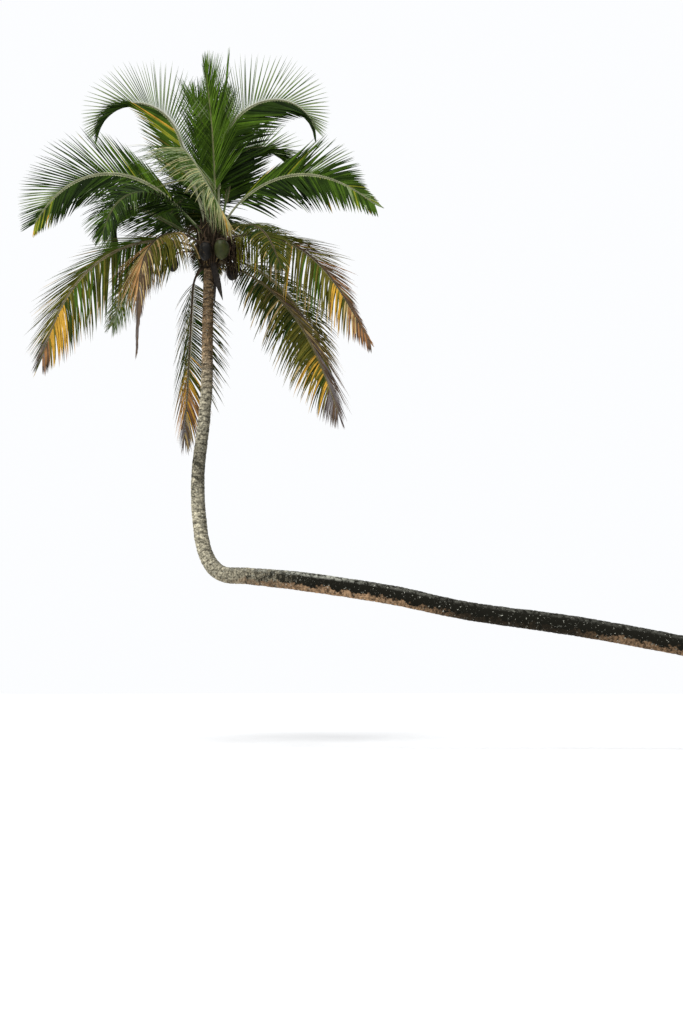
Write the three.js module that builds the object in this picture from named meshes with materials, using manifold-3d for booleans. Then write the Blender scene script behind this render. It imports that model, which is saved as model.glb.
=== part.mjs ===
// A coconut palm that leans far out before its trunk turns up to the crown.
// Millimetres, +Z up. The origin is on the ground, in the middle of the flat cut under the trunk.
// The trunk runs from there towards -X, and +Y is the far side of the tree.

import * as THREE from "three";
import Module from "manifold-3d";

const wasm = await Module();
wasm.setup();

const CLEARANCE = 0.3;
const UP = new THREE.Vector3(0, 0, 1);

// Trunk: places along its middle line, each with the width of the trunk there.
const TRUNK = [
  { x: 0, y: 0, z: 0, width: 700 },
  { x: -500, y: 10, z: 450, width: 430 },
  { x: -1400, y: 40, z: 960, width: 345 },
  { x: -2600, y: 80, z: 1400, width: 320 },
  { x: -3930, y: 90, z: 1690, width: 322 },
  { x: -5550, y: 50, z: 1980, width: 320 },
  { x: -7240, y: -20, z: 2210, width: 294 },
  { x: -8500, y: -50, z: 2470, width: 310 },
  { x: -9930, y: -30, z: 2690, width: 305 },
  { x: -10800, y: 0, z: 2780, width: 268 },
  { x: -11250, y: 5, z: 2830, width: 255 },
  { x: -11510, y: 10, z: 3160, width: 236 },
  { x: -11630, y: 20, z: 3800, width: 230 },
  { x: -11660, y: 25, z: 4500, width: 218 },
  { x: -11590, y: 20, z: 5300, width: 203 },
  { x: -11550, y: 10, z: 6100, width: 195 },
  { x: -11560, y: 0, z: 7000, width: 186 },
  { x: -11550, y: 0, z: 8020, width: 190 },
];
const ELBOW_FROM = 9;
const ELBOW_TO = 12;
const TRUNK_SIDES = 14;
const RINGS_PER_STRETCH = 2;
const TRUNK_TENSION = 0.5;
const FLARE_REACH = 1.2;
const FLARE_LOBES = 5;
const FLARE_DEPTH = 0.1;

// Crown heart: the fibre wrapped middle that carries every frond.
const HEART_FOOT = new THREE.Vector3(-11550, 0, 8020);
const HEART_LEAN_X = 60;
const HEART_SIDES = 16;
const HEART_PROFILE = [
  [0, 0], [104, 0], [150, 110], [205, 260], [232, 420],
  [215, 600], [165, 780], [105, 940], [52, 1060], [0, 1100],
];
const SEAT_LOW = new THREE.Vector3(-11530, 0, 8050);
const SEAT_HIGH = new THREE.Vector3(-11470, 0, 9000);
const SEAT_REACH = 100;

// Frond build: rib sizes from the seat to the tip, and the leaflets that stand off it. Values at the shares
// of the blade in LENGTHS_AT are shares of a frond's leaflet length, and those at the shares in OPEN_AT are
// how far leaflets stand off. LEAFLET_FITS holds the shares of length and width tried in turn where one
// would touch something.
const RIB_WIDTH = { seat: 105, neck: 62, tip: 14 };
const RIB_DEPTH = { seat: 70, neck: 48, tip: 12 };
const NECK_AT = 0.08;
const PETIOLE_STEPS = 4;
const LEAFLETS_A_SIDE = 17;
const LENGTHS_AT = [0, 0.25, 0.5, 0.75, 1];
const LENGTHS_EVEN = [0.74, 1, 1, 0.74, 0.3];
const LEAFLET_SPREAD = 0.66;
const LEAFLET_THICKNESS = 1 / 80;
const LEAFLET_STEPS = 6;
const LEAFLET_FITS = [[1, 1], [1, 0.6], [0.8, 0.5], [0.6, 0.4], [0.42, 0.3]];
const LENGTH_DRIFT = 0.12;
const OPEN_AT = [0, 0.15, 0.4, 0.7, 1];
const OPEN_WIDE = [80, 68, 62, 56, 22];
const OPEN_YOUNG = [45, 34, 26, 18, 8];
const FALL_CURVE = 1.3;
const STAGGER = 7;
const LIMP = 0.7;
const HANGING_RINGS = [[2, 1], [4, 0.75]];
const STIFF_RINGS = [[3, 1]];
const RIB_SAMPLES = 60;

// How a leaflet is tried against its neighbours, in mm, cubic mm and shares
const TRIAL_SPARE = 1;
const RIB_TOUCH = 500;
const TRIAL_ROOT = 0.995;

// Fronds. Angles in degrees: bearing 0 is +X and 90 is +Y, rise is the slope at the seat and droop at the
// tip, reached between the two shares of the length in bend. Seat is 0 low on the heart and 1 at its top,
// and side is the way it is set off the heart's middle. Roll turns the blade about its rib, first is where
// the leaflets begin, open is how far they stand off, lift raises them and hang lets them fall. Open,
// lengths, lift and hang hold a value for each side of the rib. An arched frond is two pieces that meet at
// split.
const FRONDS = [
  { name: "top_left", bearing: 184, rise: 73, droop: -100, bend: [0.41, 1.18], length: 3790, seat: 0.7,
    roll: 90, lift: [10, 10], leaflet: 930, split: 0.62,
    open: [[35, 48, 58, 48, 22], [40, 46, 36, 16, 8]] },
  { name: "top_right", bearing: 350, side: 335, rise: 92, droop: -125, bend: [0.22, 1.35], length: 3910,
    seat: 0.7, roll: -90, lift: [10, 10], leaflet: 950, split: 0.62,
    open: [[78, 74, 64, 26, 8], [34, 46, 60, 50, 24]] },
  { name: "right", bearing: 340, rise: 118, droop: -44, bend: [-0.6, 1.05], length: 3400, seat: 0.6,
    roll: -80, lift: [10, 10], hang: [0.2, 0.2], leaflet: 840, split: 0.5,
    open: [[72, 58, 52, 40, 26], [4, 12, 50, 24, 12]],
    lengths: [[1.1, 1.3, 1.1, 0.7, 0.35], [0.9, 1.05, 0.95, 0.5, 0.25]] },
  { name: "left", bearing: 189, rise: 46, droop: -65, bend: [0.13, 1.04], length: 3680, seat: 0.58,
    roll: 80, lift: [10, 10], hang: [0.1, 0.3], leaflet: 960, split: 0.55,
    open: [[10, 20, 50, 46, 25], [75, 60, 50, 42, 20]] },
  { name: "low_left", bearing: 187, rise: 100, droop: -77, bend: [-0.8, 1.02], length: 3870, seat: 0.3,
    roll: 58, lift: [-10, -10], hang: [0.2, 1.6], leaflet: 1200, first: 0.12, split: 0.5,
    open: [[8, 14, 22, 24, 14], [84, 72, 58, 44, 20]],
    lengths: [[0.6, 0.85, 0.9, 0.7, 0.3], LENGTHS_EVEN] },
  { name: "low_right", bearing: 350, rise: 120, droop: -62, bend: [-0.95, 0.84], length: 3620, seat: 0.5,
    roll: -55, lift: [-5, -5], hang: [1.6, 0.3], leaflet: 1100, first: 0.08, split: 0.5,
    open: [[84, 74, 56, 38, 20], [12, 14, 40, 20, 10]],
    lengths: [[0.7, 1, 1, 0.6, 0.2], [0.5, 0.85, 0.6, 0.35, 0.12]] },
  { name: "hanging_right", bearing: 357, rise: 10, droop: -72, bend: [-0.65, 0.95], length: 3570,
    seat: 0.15, roll: -40, lift: [-10, -10], hang: [1.1, 0.5], leaflet: 1080,
    open: [[80, 74, 70, 60, 24], [28, 28, 26, 20, 10]] },
  { name: "front", bearing: 227, side: 250, swing: 127, rise: 86, droop: -61, bend: [-0.32, 0.85],
    length: 4120, seat: 0.75, roll: 5, lift: [-12, -42], hang: [0.6, 0.6], leaflet: 900, split: 0.55 },
  { name: "dry_front_left", bearing: 226, rise: 100, droop: -90, bend: [-0.5, 0.75], length: 3150,
    seat: 0.3, lift: [-20, -20], hang: [1, 2.6], leaflet: 900,
    open: [[48, 34, 24, 10, 6], [80, 60, 34, 14, 8]],
    lengths: [[1.25, 1.3, 0.7, 0.35, 0.22], [1, 1.1, 0.6, 0.3, 0.2]] },
  { name: "hanging_back_left", bearing: 142, rise: 20, droop: -88, bend: [-0.08, 0.2], length: 3200,
    seat: 0.1, roll: -80, lift: [32, 32], hang: [0.7, 0.7], leaflet: 940, first: 0.14,
    open: [[70, 62, 54, 30, 12], [66, 48, 42, 34, 16]] },
  { name: "top_back_left", bearing: 172, side: 125, rise: 86, droop: 70, bend: [0.3, 1], length: 2500,
    seat: 0.9, roll: 60, lift: [20, 20], leaflet: 1050, open: [OPEN_YOUNG, OPEN_YOUNG] },
  { name: "top_back_right", bearing: 80, side: 68, rise: 86, droop: 78, bend: [0.3, 1], length: 2700,
    seat: 0.9, lift: [25, 25], leaflet: 800, open: [OPEN_YOUNG, OPEN_YOUNG] },
  { name: "top_front", bearing: 220, side: 290, rise: 86, droop: 80, bend: [0.3, 1], length: 2800,
    seat: 0.85, lift: [25, 25], leaflet: 950, open: [OPEN_YOUNG, OPEN_YOUNG] },
  { name: "high_right_back", bearing: 30, side: 10, rise: 81, droop: -66, bend: [0.32, 1.04],
    length: 3150, seat: 0.68, roll: -70, lift: [10, 10], leaflet: 880, split: 0.6,
    open: [[60, 52, 38, 20, 12], [40, 52, 60, 44, 20]] },
  { name: "left_back", bearing: 161, rise: 33, droop: -97, bend: [0.5, 0.93], length: 2810, seat: 0.5,
    roll: 80, lift: [5, 5], hang: [0.2, 0.2], leaflet: 720,
    open: [[20, 30, 50, 46, 25], [75, 60, 50, 42, 20]] },
  { name: "upper_back_left", bearing: 128, rise: 70, droop: -30, bend: [0.1, 1], length: 2500, seat: 0.65,
    lift: [5, 5], hang: [0.6, 0.6], leaflet: 700 },
  { name: "low_back_left", bearing: 165, rise: 34, droop: -72, bend: [0, 0.8], length: 2600, seat: 0.2,
    hang: [1.2, 1.2], leaflet: 750, open: [[80, 68, 60, 56, 40], [80, 68, 60, 56, 40]] },
  { name: "low_back_right", bearing: 45, rise: 5, droop: -70, bend: [0, 1], length: 3400, seat: 0.3,
    lift: [-5, -5], hang: [1, 1], leaflet: 950 },
  { name: "high_back", bearing: 108, rise: 76, droop: -40, bend: [0.2, 1], length: 3700, seat: 0.6,
    lift: [10, 10], hang: [0.4, 0.4], leaflet: 950, split: 0.55 },
  { name: "back", bearing: 98, rise: 54, droop: -30, bend: [0.1, 1], length: 3500, seat: 0.45,
    hang: [0.8, 0.8], leaflet: 900, split: 0.5 },
  { name: "low_back", bearing: 100, rise: 50, droop: -14, bend: [0, 0.9], length: 2000, seat: 0.1,
    hang: [0.8, 0.8], leaflet: 400 },
  { name: "front_right", bearing: 316, rise: 12, droop: -64, bend: [0, 0.9], length: 2100, seat: 0.5,
    roll: -20, lift: [5, 5], hang: [1, 1], leaflet: 600 },
  { name: "front_left", bearing: 215, rise: 40, droop: -77, bend: [0.11, 0.99], length: 2590, seat: 0.5,
    roll: 30, lift: [5, 5], hang: [0.6, 0.6], leaflet: 800 },
];
const FROND_DEFAULTS = {
  swing: 0, roll: 0, lift: [0, 0], hang: [0.1, 0.1], first: 0.2,
  open: [OPEN_WIDE, OPEN_WIDE], lengths: [LENGTHS_EVEN, LENGTHS_EVEN],
};

// Spear: the newest leaf, still folded, that stands out of the heart's top.
const SPEAR = { foot: [-11480, 35, 9050], tip: [-11310, 120, 12340], widths: [60, 74, 84, 52, 8], sides: 6 };

// Nuts: each bunch is a stalk with a nut on it.
const NUT_DETAIL = 10;
const STALK_WIDTHS = [34, 34, 34, 34, 34];
const STALK_ENDS_AT = 0.35;
const BUNCHES = [
  { name: "nut_front_right", from: [-11445, -125, 8330], bow: [-11335, -300, 8440],
    at: [-11312, -330, 8245], width: 255, height: 350 },
  { name: "nut_front", from: [-11530, -130, 8450], bow: [-11575, -270, 8470],
    at: [-11585, -300, 8225], width: 215, height: 330 },
  { name: "nut_right", from: [-11420, 85, 8250], bow: [-11260, 160, 8268],
    at: [-11190, 200, 8075], width: 215, height: 310 },
  { name: "nut_back", from: [-11480, 140, 8630], bow: [-11400, 300, 8660],
    at: [-11385, 345, 8425], width: 225, height: 320 },
  { name: "nut_left", from: [-11620, 20, 8330], bow: [-12020, -40, 8330],
    at: [-12165, -70, 8085], width: 180, height: 250 },
];

// Old flower sheaths: empty boat shaped pods that hang from under the heart.
const SHEATHS = [
  { name: "old_sheath", from: [-11500, -135, 8140], to: [-11278, -250, 7362], width: 120, depth: 34 },
  { name: "old_sheath_thin", from: [-11440, -85, 8140], to: [-11425, -215, 7216], width: 46, depth: 26 },
];
const SHEATH_OUTLINE = [0.35, 0.75, 1, 0.85, 0.5, 0.08];
const ROD_SIDES = 6;

const COLOURS = {
  bark: 0x6f6455,
  fibre: 0x2c241b,
  blade: 0x2f5a22,
  old: 0x76702f,
  nut: 0x4f6a2c,
  sheath: 0x1f1b17,
};
const ROUGHNESS = { bark: 0.9, fibre: 0.95, blade: 0.6, old: 0.65, nut: 0.55, sheath: 0.85 };

const palm = new THREE.Group();
palm.name = "coconut_palm_tree";

const radians = THREE.MathUtils.degToRad;
const mix = THREE.MathUtils.lerp;
const vector = (p) => new THREE.Vector3(...p);

// A closed mesh under construction: points, and triangles that wind outwards.
class Skin {
  constructor() {
    this.points = [];
    this.triangles = [];
  }

  add(point) {
    this.points.push(point);
    return this.points.length - 1;
  }

  face(corners, turned = false) {
    const loop = turned ? [...corners].reverse() : corners;
    for (let i = 1; i + 1 < loop.length; i++) {
      this.triangles.push([loop[0], loop[i], loop[i + 1]]);
    }
  }

  solid() {
    const vertProperties = new Float32Array(this.points.flatMap((p) => [p.x, p.y, p.z]));
    const triVerts = new Uint32Array(this.triangles.flat());
    return new wasm.Manifold(new wasm.Mesh({ numProp: 3, vertProperties, triVerts }));
  }
}

function geometryOf(solid) {
  const { vertProperties, triVerts } = solid.getMesh();
  const geometry = new THREE.BufferGeometry();
  geometry.setAttribute("position", new THREE.BufferAttribute(new Float32Array(vertProperties), 3));
  geometry.setIndex(new THREE.BufferAttribute(new Uint32Array(triVerts), 1));
  geometry.computeVertexNormals();
  return geometry;
}

function place(name, solid, finish) {
  const look = { color: COLOURS[finish], roughness: ROUGHNESS[finish], metalness: 0 };
  const mesh = new THREE.Mesh(geometryOf(solid), new THREE.MeshStandardMaterial(look));
  mesh.name = name;
  palm.add(mesh);
}

// Joins rings of equal count into a closed skin. Each ring winds round the way it is stacked.
function loft(rings) {
  const skin = new Skin();
  const loops = rings.map((ring) => ring.map((p) => skin.add(p)));
  const count = rings[0].length;
  for (let k = 0; k + 1 < loops.length; k++) {
    for (let i = 0; i < count; i++) {
      const j = (i + 1) % count;
      skin.face([loops[k][i], loops[k][j], loops[k + 1][j], loops[k + 1][i]]);
    }
  }
  skin.face(loops[0], true);
  skin.face(loops[loops.length - 1]);
  return skin.solid();
}

// A ring round a centre, square to a direction, that starts from the side nearest to +Y.
function ringRound(centre, direction, sides, radiusAt) {
  const across = new THREE.Vector3(0, 1, 0).cross(direction).normalize();
  const side = direction.clone().cross(across).normalize();
  return Array.from({ length: sides }, (_, i) => {
    const angle = (2 * Math.PI * i) / sides;
    const radius = radiusAt(angle);
    return centre
      .clone()
      .addScaledVector(side, Math.cos(angle) * radius)
      .addScaledVector(across, -Math.sin(angle) * radius);
  });
}

// Trunk
const trunkPlaces = TRUNK.map((s) => new THREE.Vector3(s.x, s.y, s.z));
const trunkLine = new THREE.CatmullRomCurve3(trunkPlaces, false, "catmullrom", TRUNK_TENSION);
const trunkTop = TRUNK.length - 1;

function trunkWidth(station) {
  const k = Math.min(Math.floor(station), TRUNK.length - 2);
  return mix(TRUNK[k].width, TRUNK[k + 1].width, station - k);
}

function trunkRing(station, shift = 0) {
  const share = station / trunkTop;
  const direction = trunkLine.getTangent(share);
  const flare = Math.max(0, 1 - station / FLARE_REACH);
  const level = Math.max(flare, station - trunkTop + 1);
  direction.lerp(UP, level).normalize();
  const centre = trunkLine.getPoint(share).addScaledVector(direction, shift);
  const lobe = (angle) => 1 + FLARE_DEPTH * flare * Math.cos(FLARE_LOBES * angle);
  return ringRound(centre, direction, TRUNK_SIDES, (angle) => (trunkWidth(station) / 2) * lobe(angle));
}

function trunkPart(from, to) {
  const rings = [trunkRing(from, from > 0 ? CLEARANCE : 0)];
  for (let k = 1; k <= (to - from) * RINGS_PER_STRETCH; k++) {
    rings.push(trunkRing(from + k / RINGS_PER_STRETCH));
  }
  return loft(rings);
}

const trunkParts = [
  ["trunk_leaning", trunkPart(0, ELBOW_FROM)],
  ["trunk_elbow", trunkPart(ELBOW_FROM, ELBOW_TO)],
  ["trunk_upright", trunkPart(ELBOW_TO, trunkTop)],
];
trunkParts.forEach(([name, solid]) => place(name, solid, "bark"));

// Crown heart, also made a clearance larger so that what it carries is cut to meet it
function heart(extra) {
  const height = HEART_PROFILE.at(-1)[1];
  const outline = HEART_PROFILE.map(([radius, z]) => {
    const swell = radius > 0 ? extra : 0;
    const push = z === 0 ? -extra : z === height ? extra : 0;
    return new THREE.Vector2(radius + swell, z + push);
  });
  const skin = new Skin();
  const foot = HEART_FOOT.clone().setZ(HEART_FOOT.z + CLEARANCE);
  const leanAt = (z) => (HEART_LEAN_X * z) / height;
  const loops = outline.slice(1, -1).map(({ x: radius, y: z }) =>
    Array.from({ length: HEART_SIDES }, (_, i) => {
      const angle = (2 * Math.PI * i) / HEART_SIDES;
      const reach = new THREE.Vector3(Math.cos(angle) * radius + leanAt(z), Math.sin(angle) * radius, z);
      return skin.add(foot.clone().add(reach));
    }),
  );
  const low = skin.add(foot.clone().add(new THREE.Vector3(0, 0, outline[0].y)));
  const high = skin.add(foot.clone().add(new THREE.Vector3(leanAt(height), 0, outline.at(-1).y)));
  for (let i = 0; i < HEART_SIDES; i++) {
    const j = (i + 1) % HEART_SIDES;
    skin.face([low, loops[0][j], loops[0][i]]);
    for (let k = 0; k + 1 < loops.length; k++) {
      skin.face([loops[k][i], loops[k][j], loops[k + 1][j], loops[k + 1][i]]);
    }
    skin.face([high, loops.at(-1)[i], loops.at(-1)[j]]);
  }
  return skin.solid();
}

const heartSolid = heart(0);
const heartSeat = heart(CLEARANCE);
place("crown_heart", heartSolid, "fibre");

// What later pieces keep clear of, with the box round each
const standing = [];
function keepClearOf(solid) {
  standing.push({ solid, box: solid.boundingBox() });
}
trunkParts.forEach(([, solid]) => keepClearOf(solid));
keepClearOf(heartSolid);

function boxesMeet(a, b) {
  return [0, 1, 2].every((i) => a.min[i] <= b.max[i] && b.min[i] <= a.max[i]);
}

function meets(solid, list) {
  const box = solid.boundingBox();
  return list.some((other) => boxesMeet(box, other.box) && !solid.intersect(other.solid).isEmpty());
}

// A leaflet's root lies in its rib's side, so only a volume in common counts there
function overlaps(solid, other) {
  return solid.intersect(other).volume() > RIB_TOUCH;
}

// The largest piece of a solid that cutting may have left in several
function largest(solid) {
  return solid.decompose().sort((a, b) => b.volume() - a.volume())[0];
}

// A tapering rod along a curve, flatter than round where depthShare is under 1
function rod(line, widths, sides, depthShare = 1) {
  const curve = new THREE.CatmullRomCurve3(line);
  const rings = widths.map((width, k) => {
    const share = k / (widths.length - 1);
    const radiusAt = (angle) => (width / 2) * Math.hypot(Math.cos(angle) * depthShare, Math.sin(angle));
    return ringRound(curve.getPoint(share), curve.getTangent(share), sides, radiusAt);
  });
  return loft(rings);
}

// Spear
const spearRod = rod([vector(SPEAR.foot), vector(SPEAR.tip)], SPEAR.widths, SPEAR.sides);
const spear = largest(spearRod.subtract(heartSeat));
place("spear_leaf", spear, "blade");
keepClearOf(spear);

// Nuts on their stalks
function nutBunch(bunch) {
  const nut = vector(bunch.at);
  const crown = nut.clone().setZ(nut.z + bunch.height * STALK_ENDS_AT);
  const stalk = rod([vector(bunch.from), vector(bunch.bow), crown], STALK_WIDTHS, ROD_SIDES);
  const rings = [];
  for (let k = 1; k < NUT_DETAIL; k++) {
    const polar = (Math.PI * k) / NUT_DETAIL;
    const centre = nut.clone().setZ(nut.z - (bunch.height / 2) * Math.cos(polar));
    rings.push(ringRound(centre, UP, NUT_DETAIL, () => (bunch.width / 2) * Math.sin(polar)));
  }
  return largest(loft(rings).add(stalk).subtract(heartSeat));
}

for (const bunch of BUNCHES) {
  const solid = nutBunch(bunch);
  place(bunch.name, solid, "nut");
  keepClearOf(solid);
}

// Old sheaths
for (const sheath of SHEATHS) {
  const widths = SHEATH_OUTLINE.map((share) => share * sheath.width);
  const line = [vector(sheath.from), vector(sheath.to)];
  const pod = rod(line, widths, ROD_SIDES, sheath.depth / sheath.width);
  const solid = largest(pod.subtract(heartSeat));
  place(sheath.name, solid, "sheath");
  keepClearOf(solid);
}

// Even spread of small differences, the same each time, from 0 to 1
const SCATTER = { seed: 12.9898, count: 78.233, stretch: 43758.5453 };
function chance(seed, count) {
  const wave = Math.sin(seed * SCATTER.seed + count * SCATTER.count) * SCATTER.stretch;
  return wave - Math.floor(wave);
}

const smooth = (t) => t * t * (3 - 2 * t);
const clamp01 = (t) => THREE.MathUtils.clamp(t, 0, 1);

// Value at a share between 0 and 1, from values given at rising places in that range
function steps(places, values, share) {
  const k = places.findIndex((at) => share < at);
  return mix(values[k - 1], values[k], (share - places[k - 1]) / (places[k] - places[k - 1]));
}

const ofSide = (pair, side) => pair[side > 0 ? 0 : 1];

// The frond's axes at a share of its length: along the rib, across the blade, and square to the blade
function axesAt(frond, share) {
  const [from, to] = frond.bend;
  const slope = radians(mix(frond.rise, frond.droop, smooth(clamp01((share - from) / (to - from)))));
  const heading = radians(frond.bearing + frond.swing * share);
  const along = new THREE.Vector3(
    Math.cos(slope) * Math.cos(heading),
    Math.cos(slope) * Math.sin(heading),
    Math.sin(slope),
  );
  const level = new THREE.Vector3(Math.sin(heading), -Math.cos(heading), 0);
  const above = level.clone().cross(along);
  const roll = radians(frond.roll);
  const across = level.clone().multiplyScalar(Math.cos(roll)).addScaledVector(above, Math.sin(roll));
  const face = above.clone().multiplyScalar(Math.cos(roll)).addScaledVector(level, -Math.sin(roll));
  return { along, across, face };
}

// Points along the rib's middle line, walked from the seat by small steps
function ribLine(frond) {
  const side = radians(frond.side ?? frond.bearing);
  const seat = SEAT_LOW.clone().lerp(SEAT_HIGH, frond.seat);
  const point = seat.add(new THREE.Vector3(Math.cos(side), Math.sin(side), 0).multiplyScalar(SEAT_REACH));
  const line = [point.clone()];
  for (let k = 0; k < RIB_SAMPLES; k++) {
    const { along } = axesAt(frond, (k + 0.5) / RIB_SAMPLES);
    point.addScaledVector(along, frond.length / RIB_SAMPLES);
    line.push(point.clone());
  }
  return line;
}

function pointAt(line, share) {
  const at = clamp01(share) * RIB_SAMPLES;
  const k = Math.min(Math.floor(at), RIB_SAMPLES - 1);
  return line[k].clone().lerp(line[k + 1], at - k);
}

function ribSize(sizes, share) {
  return share < NECK_AT
    ? mix(sizes.seat, sizes.neck, smooth(share / NECK_AT))
    : mix(sizes.neck, sizes.tip, (share - NECK_AT) / (1 - NECK_AT));
}

// The four corners of the rib at a share of its length: over and under, on each side
function ribRing(frond, line, share, spare = 0, shift = 0) {
  const { along, across, face } = axesAt(frond, share);
  const centre = pointAt(line, share).addScaledVector(along, shift);
  const halfWidth = ribSize(RIB_WIDTH, share) / 2 + spare;
  const halfDepth = ribSize(RIB_DEPTH, share) / 2 + spare;
  const corner = (a, b) =>
    centre.clone().addScaledVector(across, a * halfWidth).addScaledVector(face, b * halfDepth);
  return [corner(1, 1), corner(-1, 1), corner(-1, -1), corner(1, -1)];
}

// Shares of the length where the rib has a ring: even along the petiole, then one for each leaflet's edge
function ribShares({ first }) {
  const shares = [];
  for (let k = 0; k < PETIOLE_STEPS; k++) {
    shares.push((first * k) / PETIOLE_STEPS);
  }
  for (let k = 0; k <= LEAFLETS_A_SIDE; k++) {
    shares.push(mix(first, 1, k / LEAFLETS_A_SIDE));
  }
  return shares;
}

function plainRib(frond, line, spare) {
  return loft(ribShares(frond).map((share) => ribRing(frond, line, share, spare).reverse()));
}

// A leaflet's root on the rib, the way it leaves at its opening angle, and its length
function leafletLine(frond, line, index, side) {
  const blade = (index + 0.5) / LEAFLETS_A_SIDE;
  const share = mix(frond.first, 1, blade);
  const { along, across, face } = axesAt(frond, share);
  const drift = chance(index + 1, side + frond.length) - 0.5;
  const open = radians(steps(OPEN_AT, ofSide(frond.open, side), blade));
  const lift = radians(ofSide(frond.lift, side) + (index % 2 ? STAGGER : -STAGGER) + drift * STAGGER);
  const out = across.clone().multiplyScalar(side * Math.cos(lift)).addScaledVector(face, Math.sin(lift));
  const heading = along.clone().multiplyScalar(Math.cos(open)).addScaledVector(out, Math.sin(open));
  const lengthShare = steps(LENGTHS_AT, ofSide(frond.lengths, side), blade);
  const length = frond.leaflet * lengthShare * (1 + LENGTH_DRIFT * drift);
  const root = pointAt(line, share).addScaledVector(across, (side * ribSize(RIB_WIDTH, share)) / 2);
  return { root, along, face, heading, length, hang: ofSide(frond.hang, side) };
}

// Rings of three along the leaflet (ridge, leading edge, trailing edge), and its tip
function leafletRings(leaflet, factor, width, spare) {
  const { along, face, heading, hang } = leaflet;
  const length = leaflet.length * factor;
  const stops = hang > LIMP ? HANGING_RINGS : STIFF_RINGS;
  const point = leaflet.root.clone();
  let leading = along.clone();
  const rings = [];
  for (let k = 1; k <= LEAFLET_STEPS; k++) {
    const fall = hang * ((k - 0.5) / LEAFLET_STEPS) ** FALL_CURVE;
    const direction = heading.clone().addScaledVector(UP, -fall).normalize();
    point.addScaledVector(direction, length / LEAFLET_STEPS);
    leading = leading.addScaledVector(direction, -leading.dot(direction)).normalize();
    const stop = stops.find(([at]) => at === k);
    if (stop) {
      const reach = (width * stop[1]) / 2 + spare;
      let ridge = leading.clone().cross(direction);
      ridge = ridge.multiplyScalar(Math.sign(ridge.dot(face)) || 1);
      const thick = length * LEAFLET_THICKNESS + spare;
      rings.push([
        point.clone().addScaledVector(ridge, thick),
        point.clone().addScaledVector(leading, reach),
        point.clone().addScaledVector(leading, -reach),
      ]);
    }
  }
  return { rings, tip: point };
}

// Adds a leaflet to a skin from the four corners of its root: over back, under back, under front, over front
function growLeaflet(skin, corners, shape, turned) {
  const [overBack, underBack, underFront, overFront] = corners;
  let [ridge, front, back] = shape.rings[0].map((p) => skin.add(p));
  const face = (...loop) => skin.face(loop, turned);
  face(overBack, underBack, back);
  face(overBack, back, ridge);
  face(underBack, underFront, front);
  face(underBack, front, back);
  face(underFront, overFront, front);
  face(overFront, ridge, front);
  face(overFront, overBack, ridge);
  for (const ring of shape.rings.slice(1)) {
    const [nextRidge, nextFront, nextBack] = ring.map((p) => skin.add(p));
    face(ridge, back, nextBack, nextRidge);
    face(back, front, nextFront, nextBack);
    face(front, ridge, nextRidge, nextFront);
    [ridge, front, back] = [nextRidge, nextFront, nextBack];
  }
  const tip = skin.add(shape.tip);
  face(ridge, back, tip);
  face(back, front, tip);
  face(front, ridge, tip);
}

// The leaflet alone as a closed solid, a little fat, to see what it would touch. Its root is split along the
// same diagonal as the rib's wall, so that on a twisted rib the two lie flush.
function leafletTrial(root, shape, turned) {
  const skin = new Skin();
  const middle = root.reduce((sum, p) => sum.add(p), new THREE.Vector3()).divideScalar(root.length);
  const corners = root.map((p) => skin.add(middle.clone().lerp(p, TRIAL_ROOT)));
  growLeaflet(skin, corners, shape, turned);
  skin.face([...corners.slice(1), corners[0]], !turned);
  return skin.solid();
}

// Grows a frond's skin between two ring numbers, with each leaflet that touches nothing
function frondPiece(plan, from, to, ownLeaflets) {
  const { frond, line } = plan;
  const shares = ribShares(frond);
  const skin = new Skin();
  const rings = [];
  for (let k = from; k <= to; k++) {
    const ring = ribRing(frond, line, shares[k], 0, k === from && from > 0 ? CLEARANCE : 0);
    rings.push({ places: ring, ids: ring.map((p) => skin.add(p)) });
  }
  for (let k = 0; k + 1 < rings.length; k++) {
    const [a, b, c, d] = rings[k].ids;
    const [a2, b2, c2, d2] = rings[k + 1].ids;
    skin.face([a, a2, b2, b]);
    skin.face([d, c, c2, d2]);
    const roots = {
      1: { ids: [a, d, d2, a2], places: [0, 3, 3, 0] },
      [-1]: { ids: [b, c, c2, b2], places: [1, 2, 2, 1] },
    };
    for (const side of [1, -1]) {
      const { ids, places } = roots[side];
      const index = from + k - PETIOLE_STEPS;
      const corners = places.map((at, i) => rings[k + (i > 1 ? 1 : 0)].places[at]);
      const shape = index < 0 ? null : fittingLeaflet(plan, index, side, corners, ownLeaflets);
      if (shape) {
        growLeaflet(skin, ids, shape, side < 0);
      } else {
        skin.face(ids, side < 0);
      }
    }
  }
  skin.face(rings[0].ids);
  skin.face(rings.at(-1).ids, true);
  return skin.solid();
}

// The longest form of a leaflet that stays clear of everything, or nothing
function fittingLeaflet(plan, index, side, corners, ownLeaflets) {
  const leaflet = leafletLine(plan.frond, plan.line, index, side);
  const segment = (plan.frond.length * (1 - plan.frond.first)) / LEAFLETS_A_SIDE;
  const width = segment * LEAFLET_SPREAD;
  for (const [lengthShare, widthShare] of LEAFLET_FITS) {
    const trialShape = leafletRings(leaflet, lengthShare, width * widthShare, TRIAL_SPARE);
    const trial = leafletTrial(corners, trialShape, side < 0);
    if (!meets(trial, ownLeaflets) && !overlaps(trial, plan.rib) && !meets(trial, standing)) {
      ownLeaflets.push({ solid: trial, box: trial.boundingBox() });
      return leafletRings(leaflet, lengthShare, width * widthShare, 0);
    }
  }
  return null;
}

const plans = FRONDS.map((given) => {
  const frond = { ...FROND_DEFAULTS, ...given };
  const line = ribLine(frond);
  const rib = plainRib(frond, line, 0);
  return { frond, line, rib, fatRib: plainRib(frond, line, CLEARANCE) };
});

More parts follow.
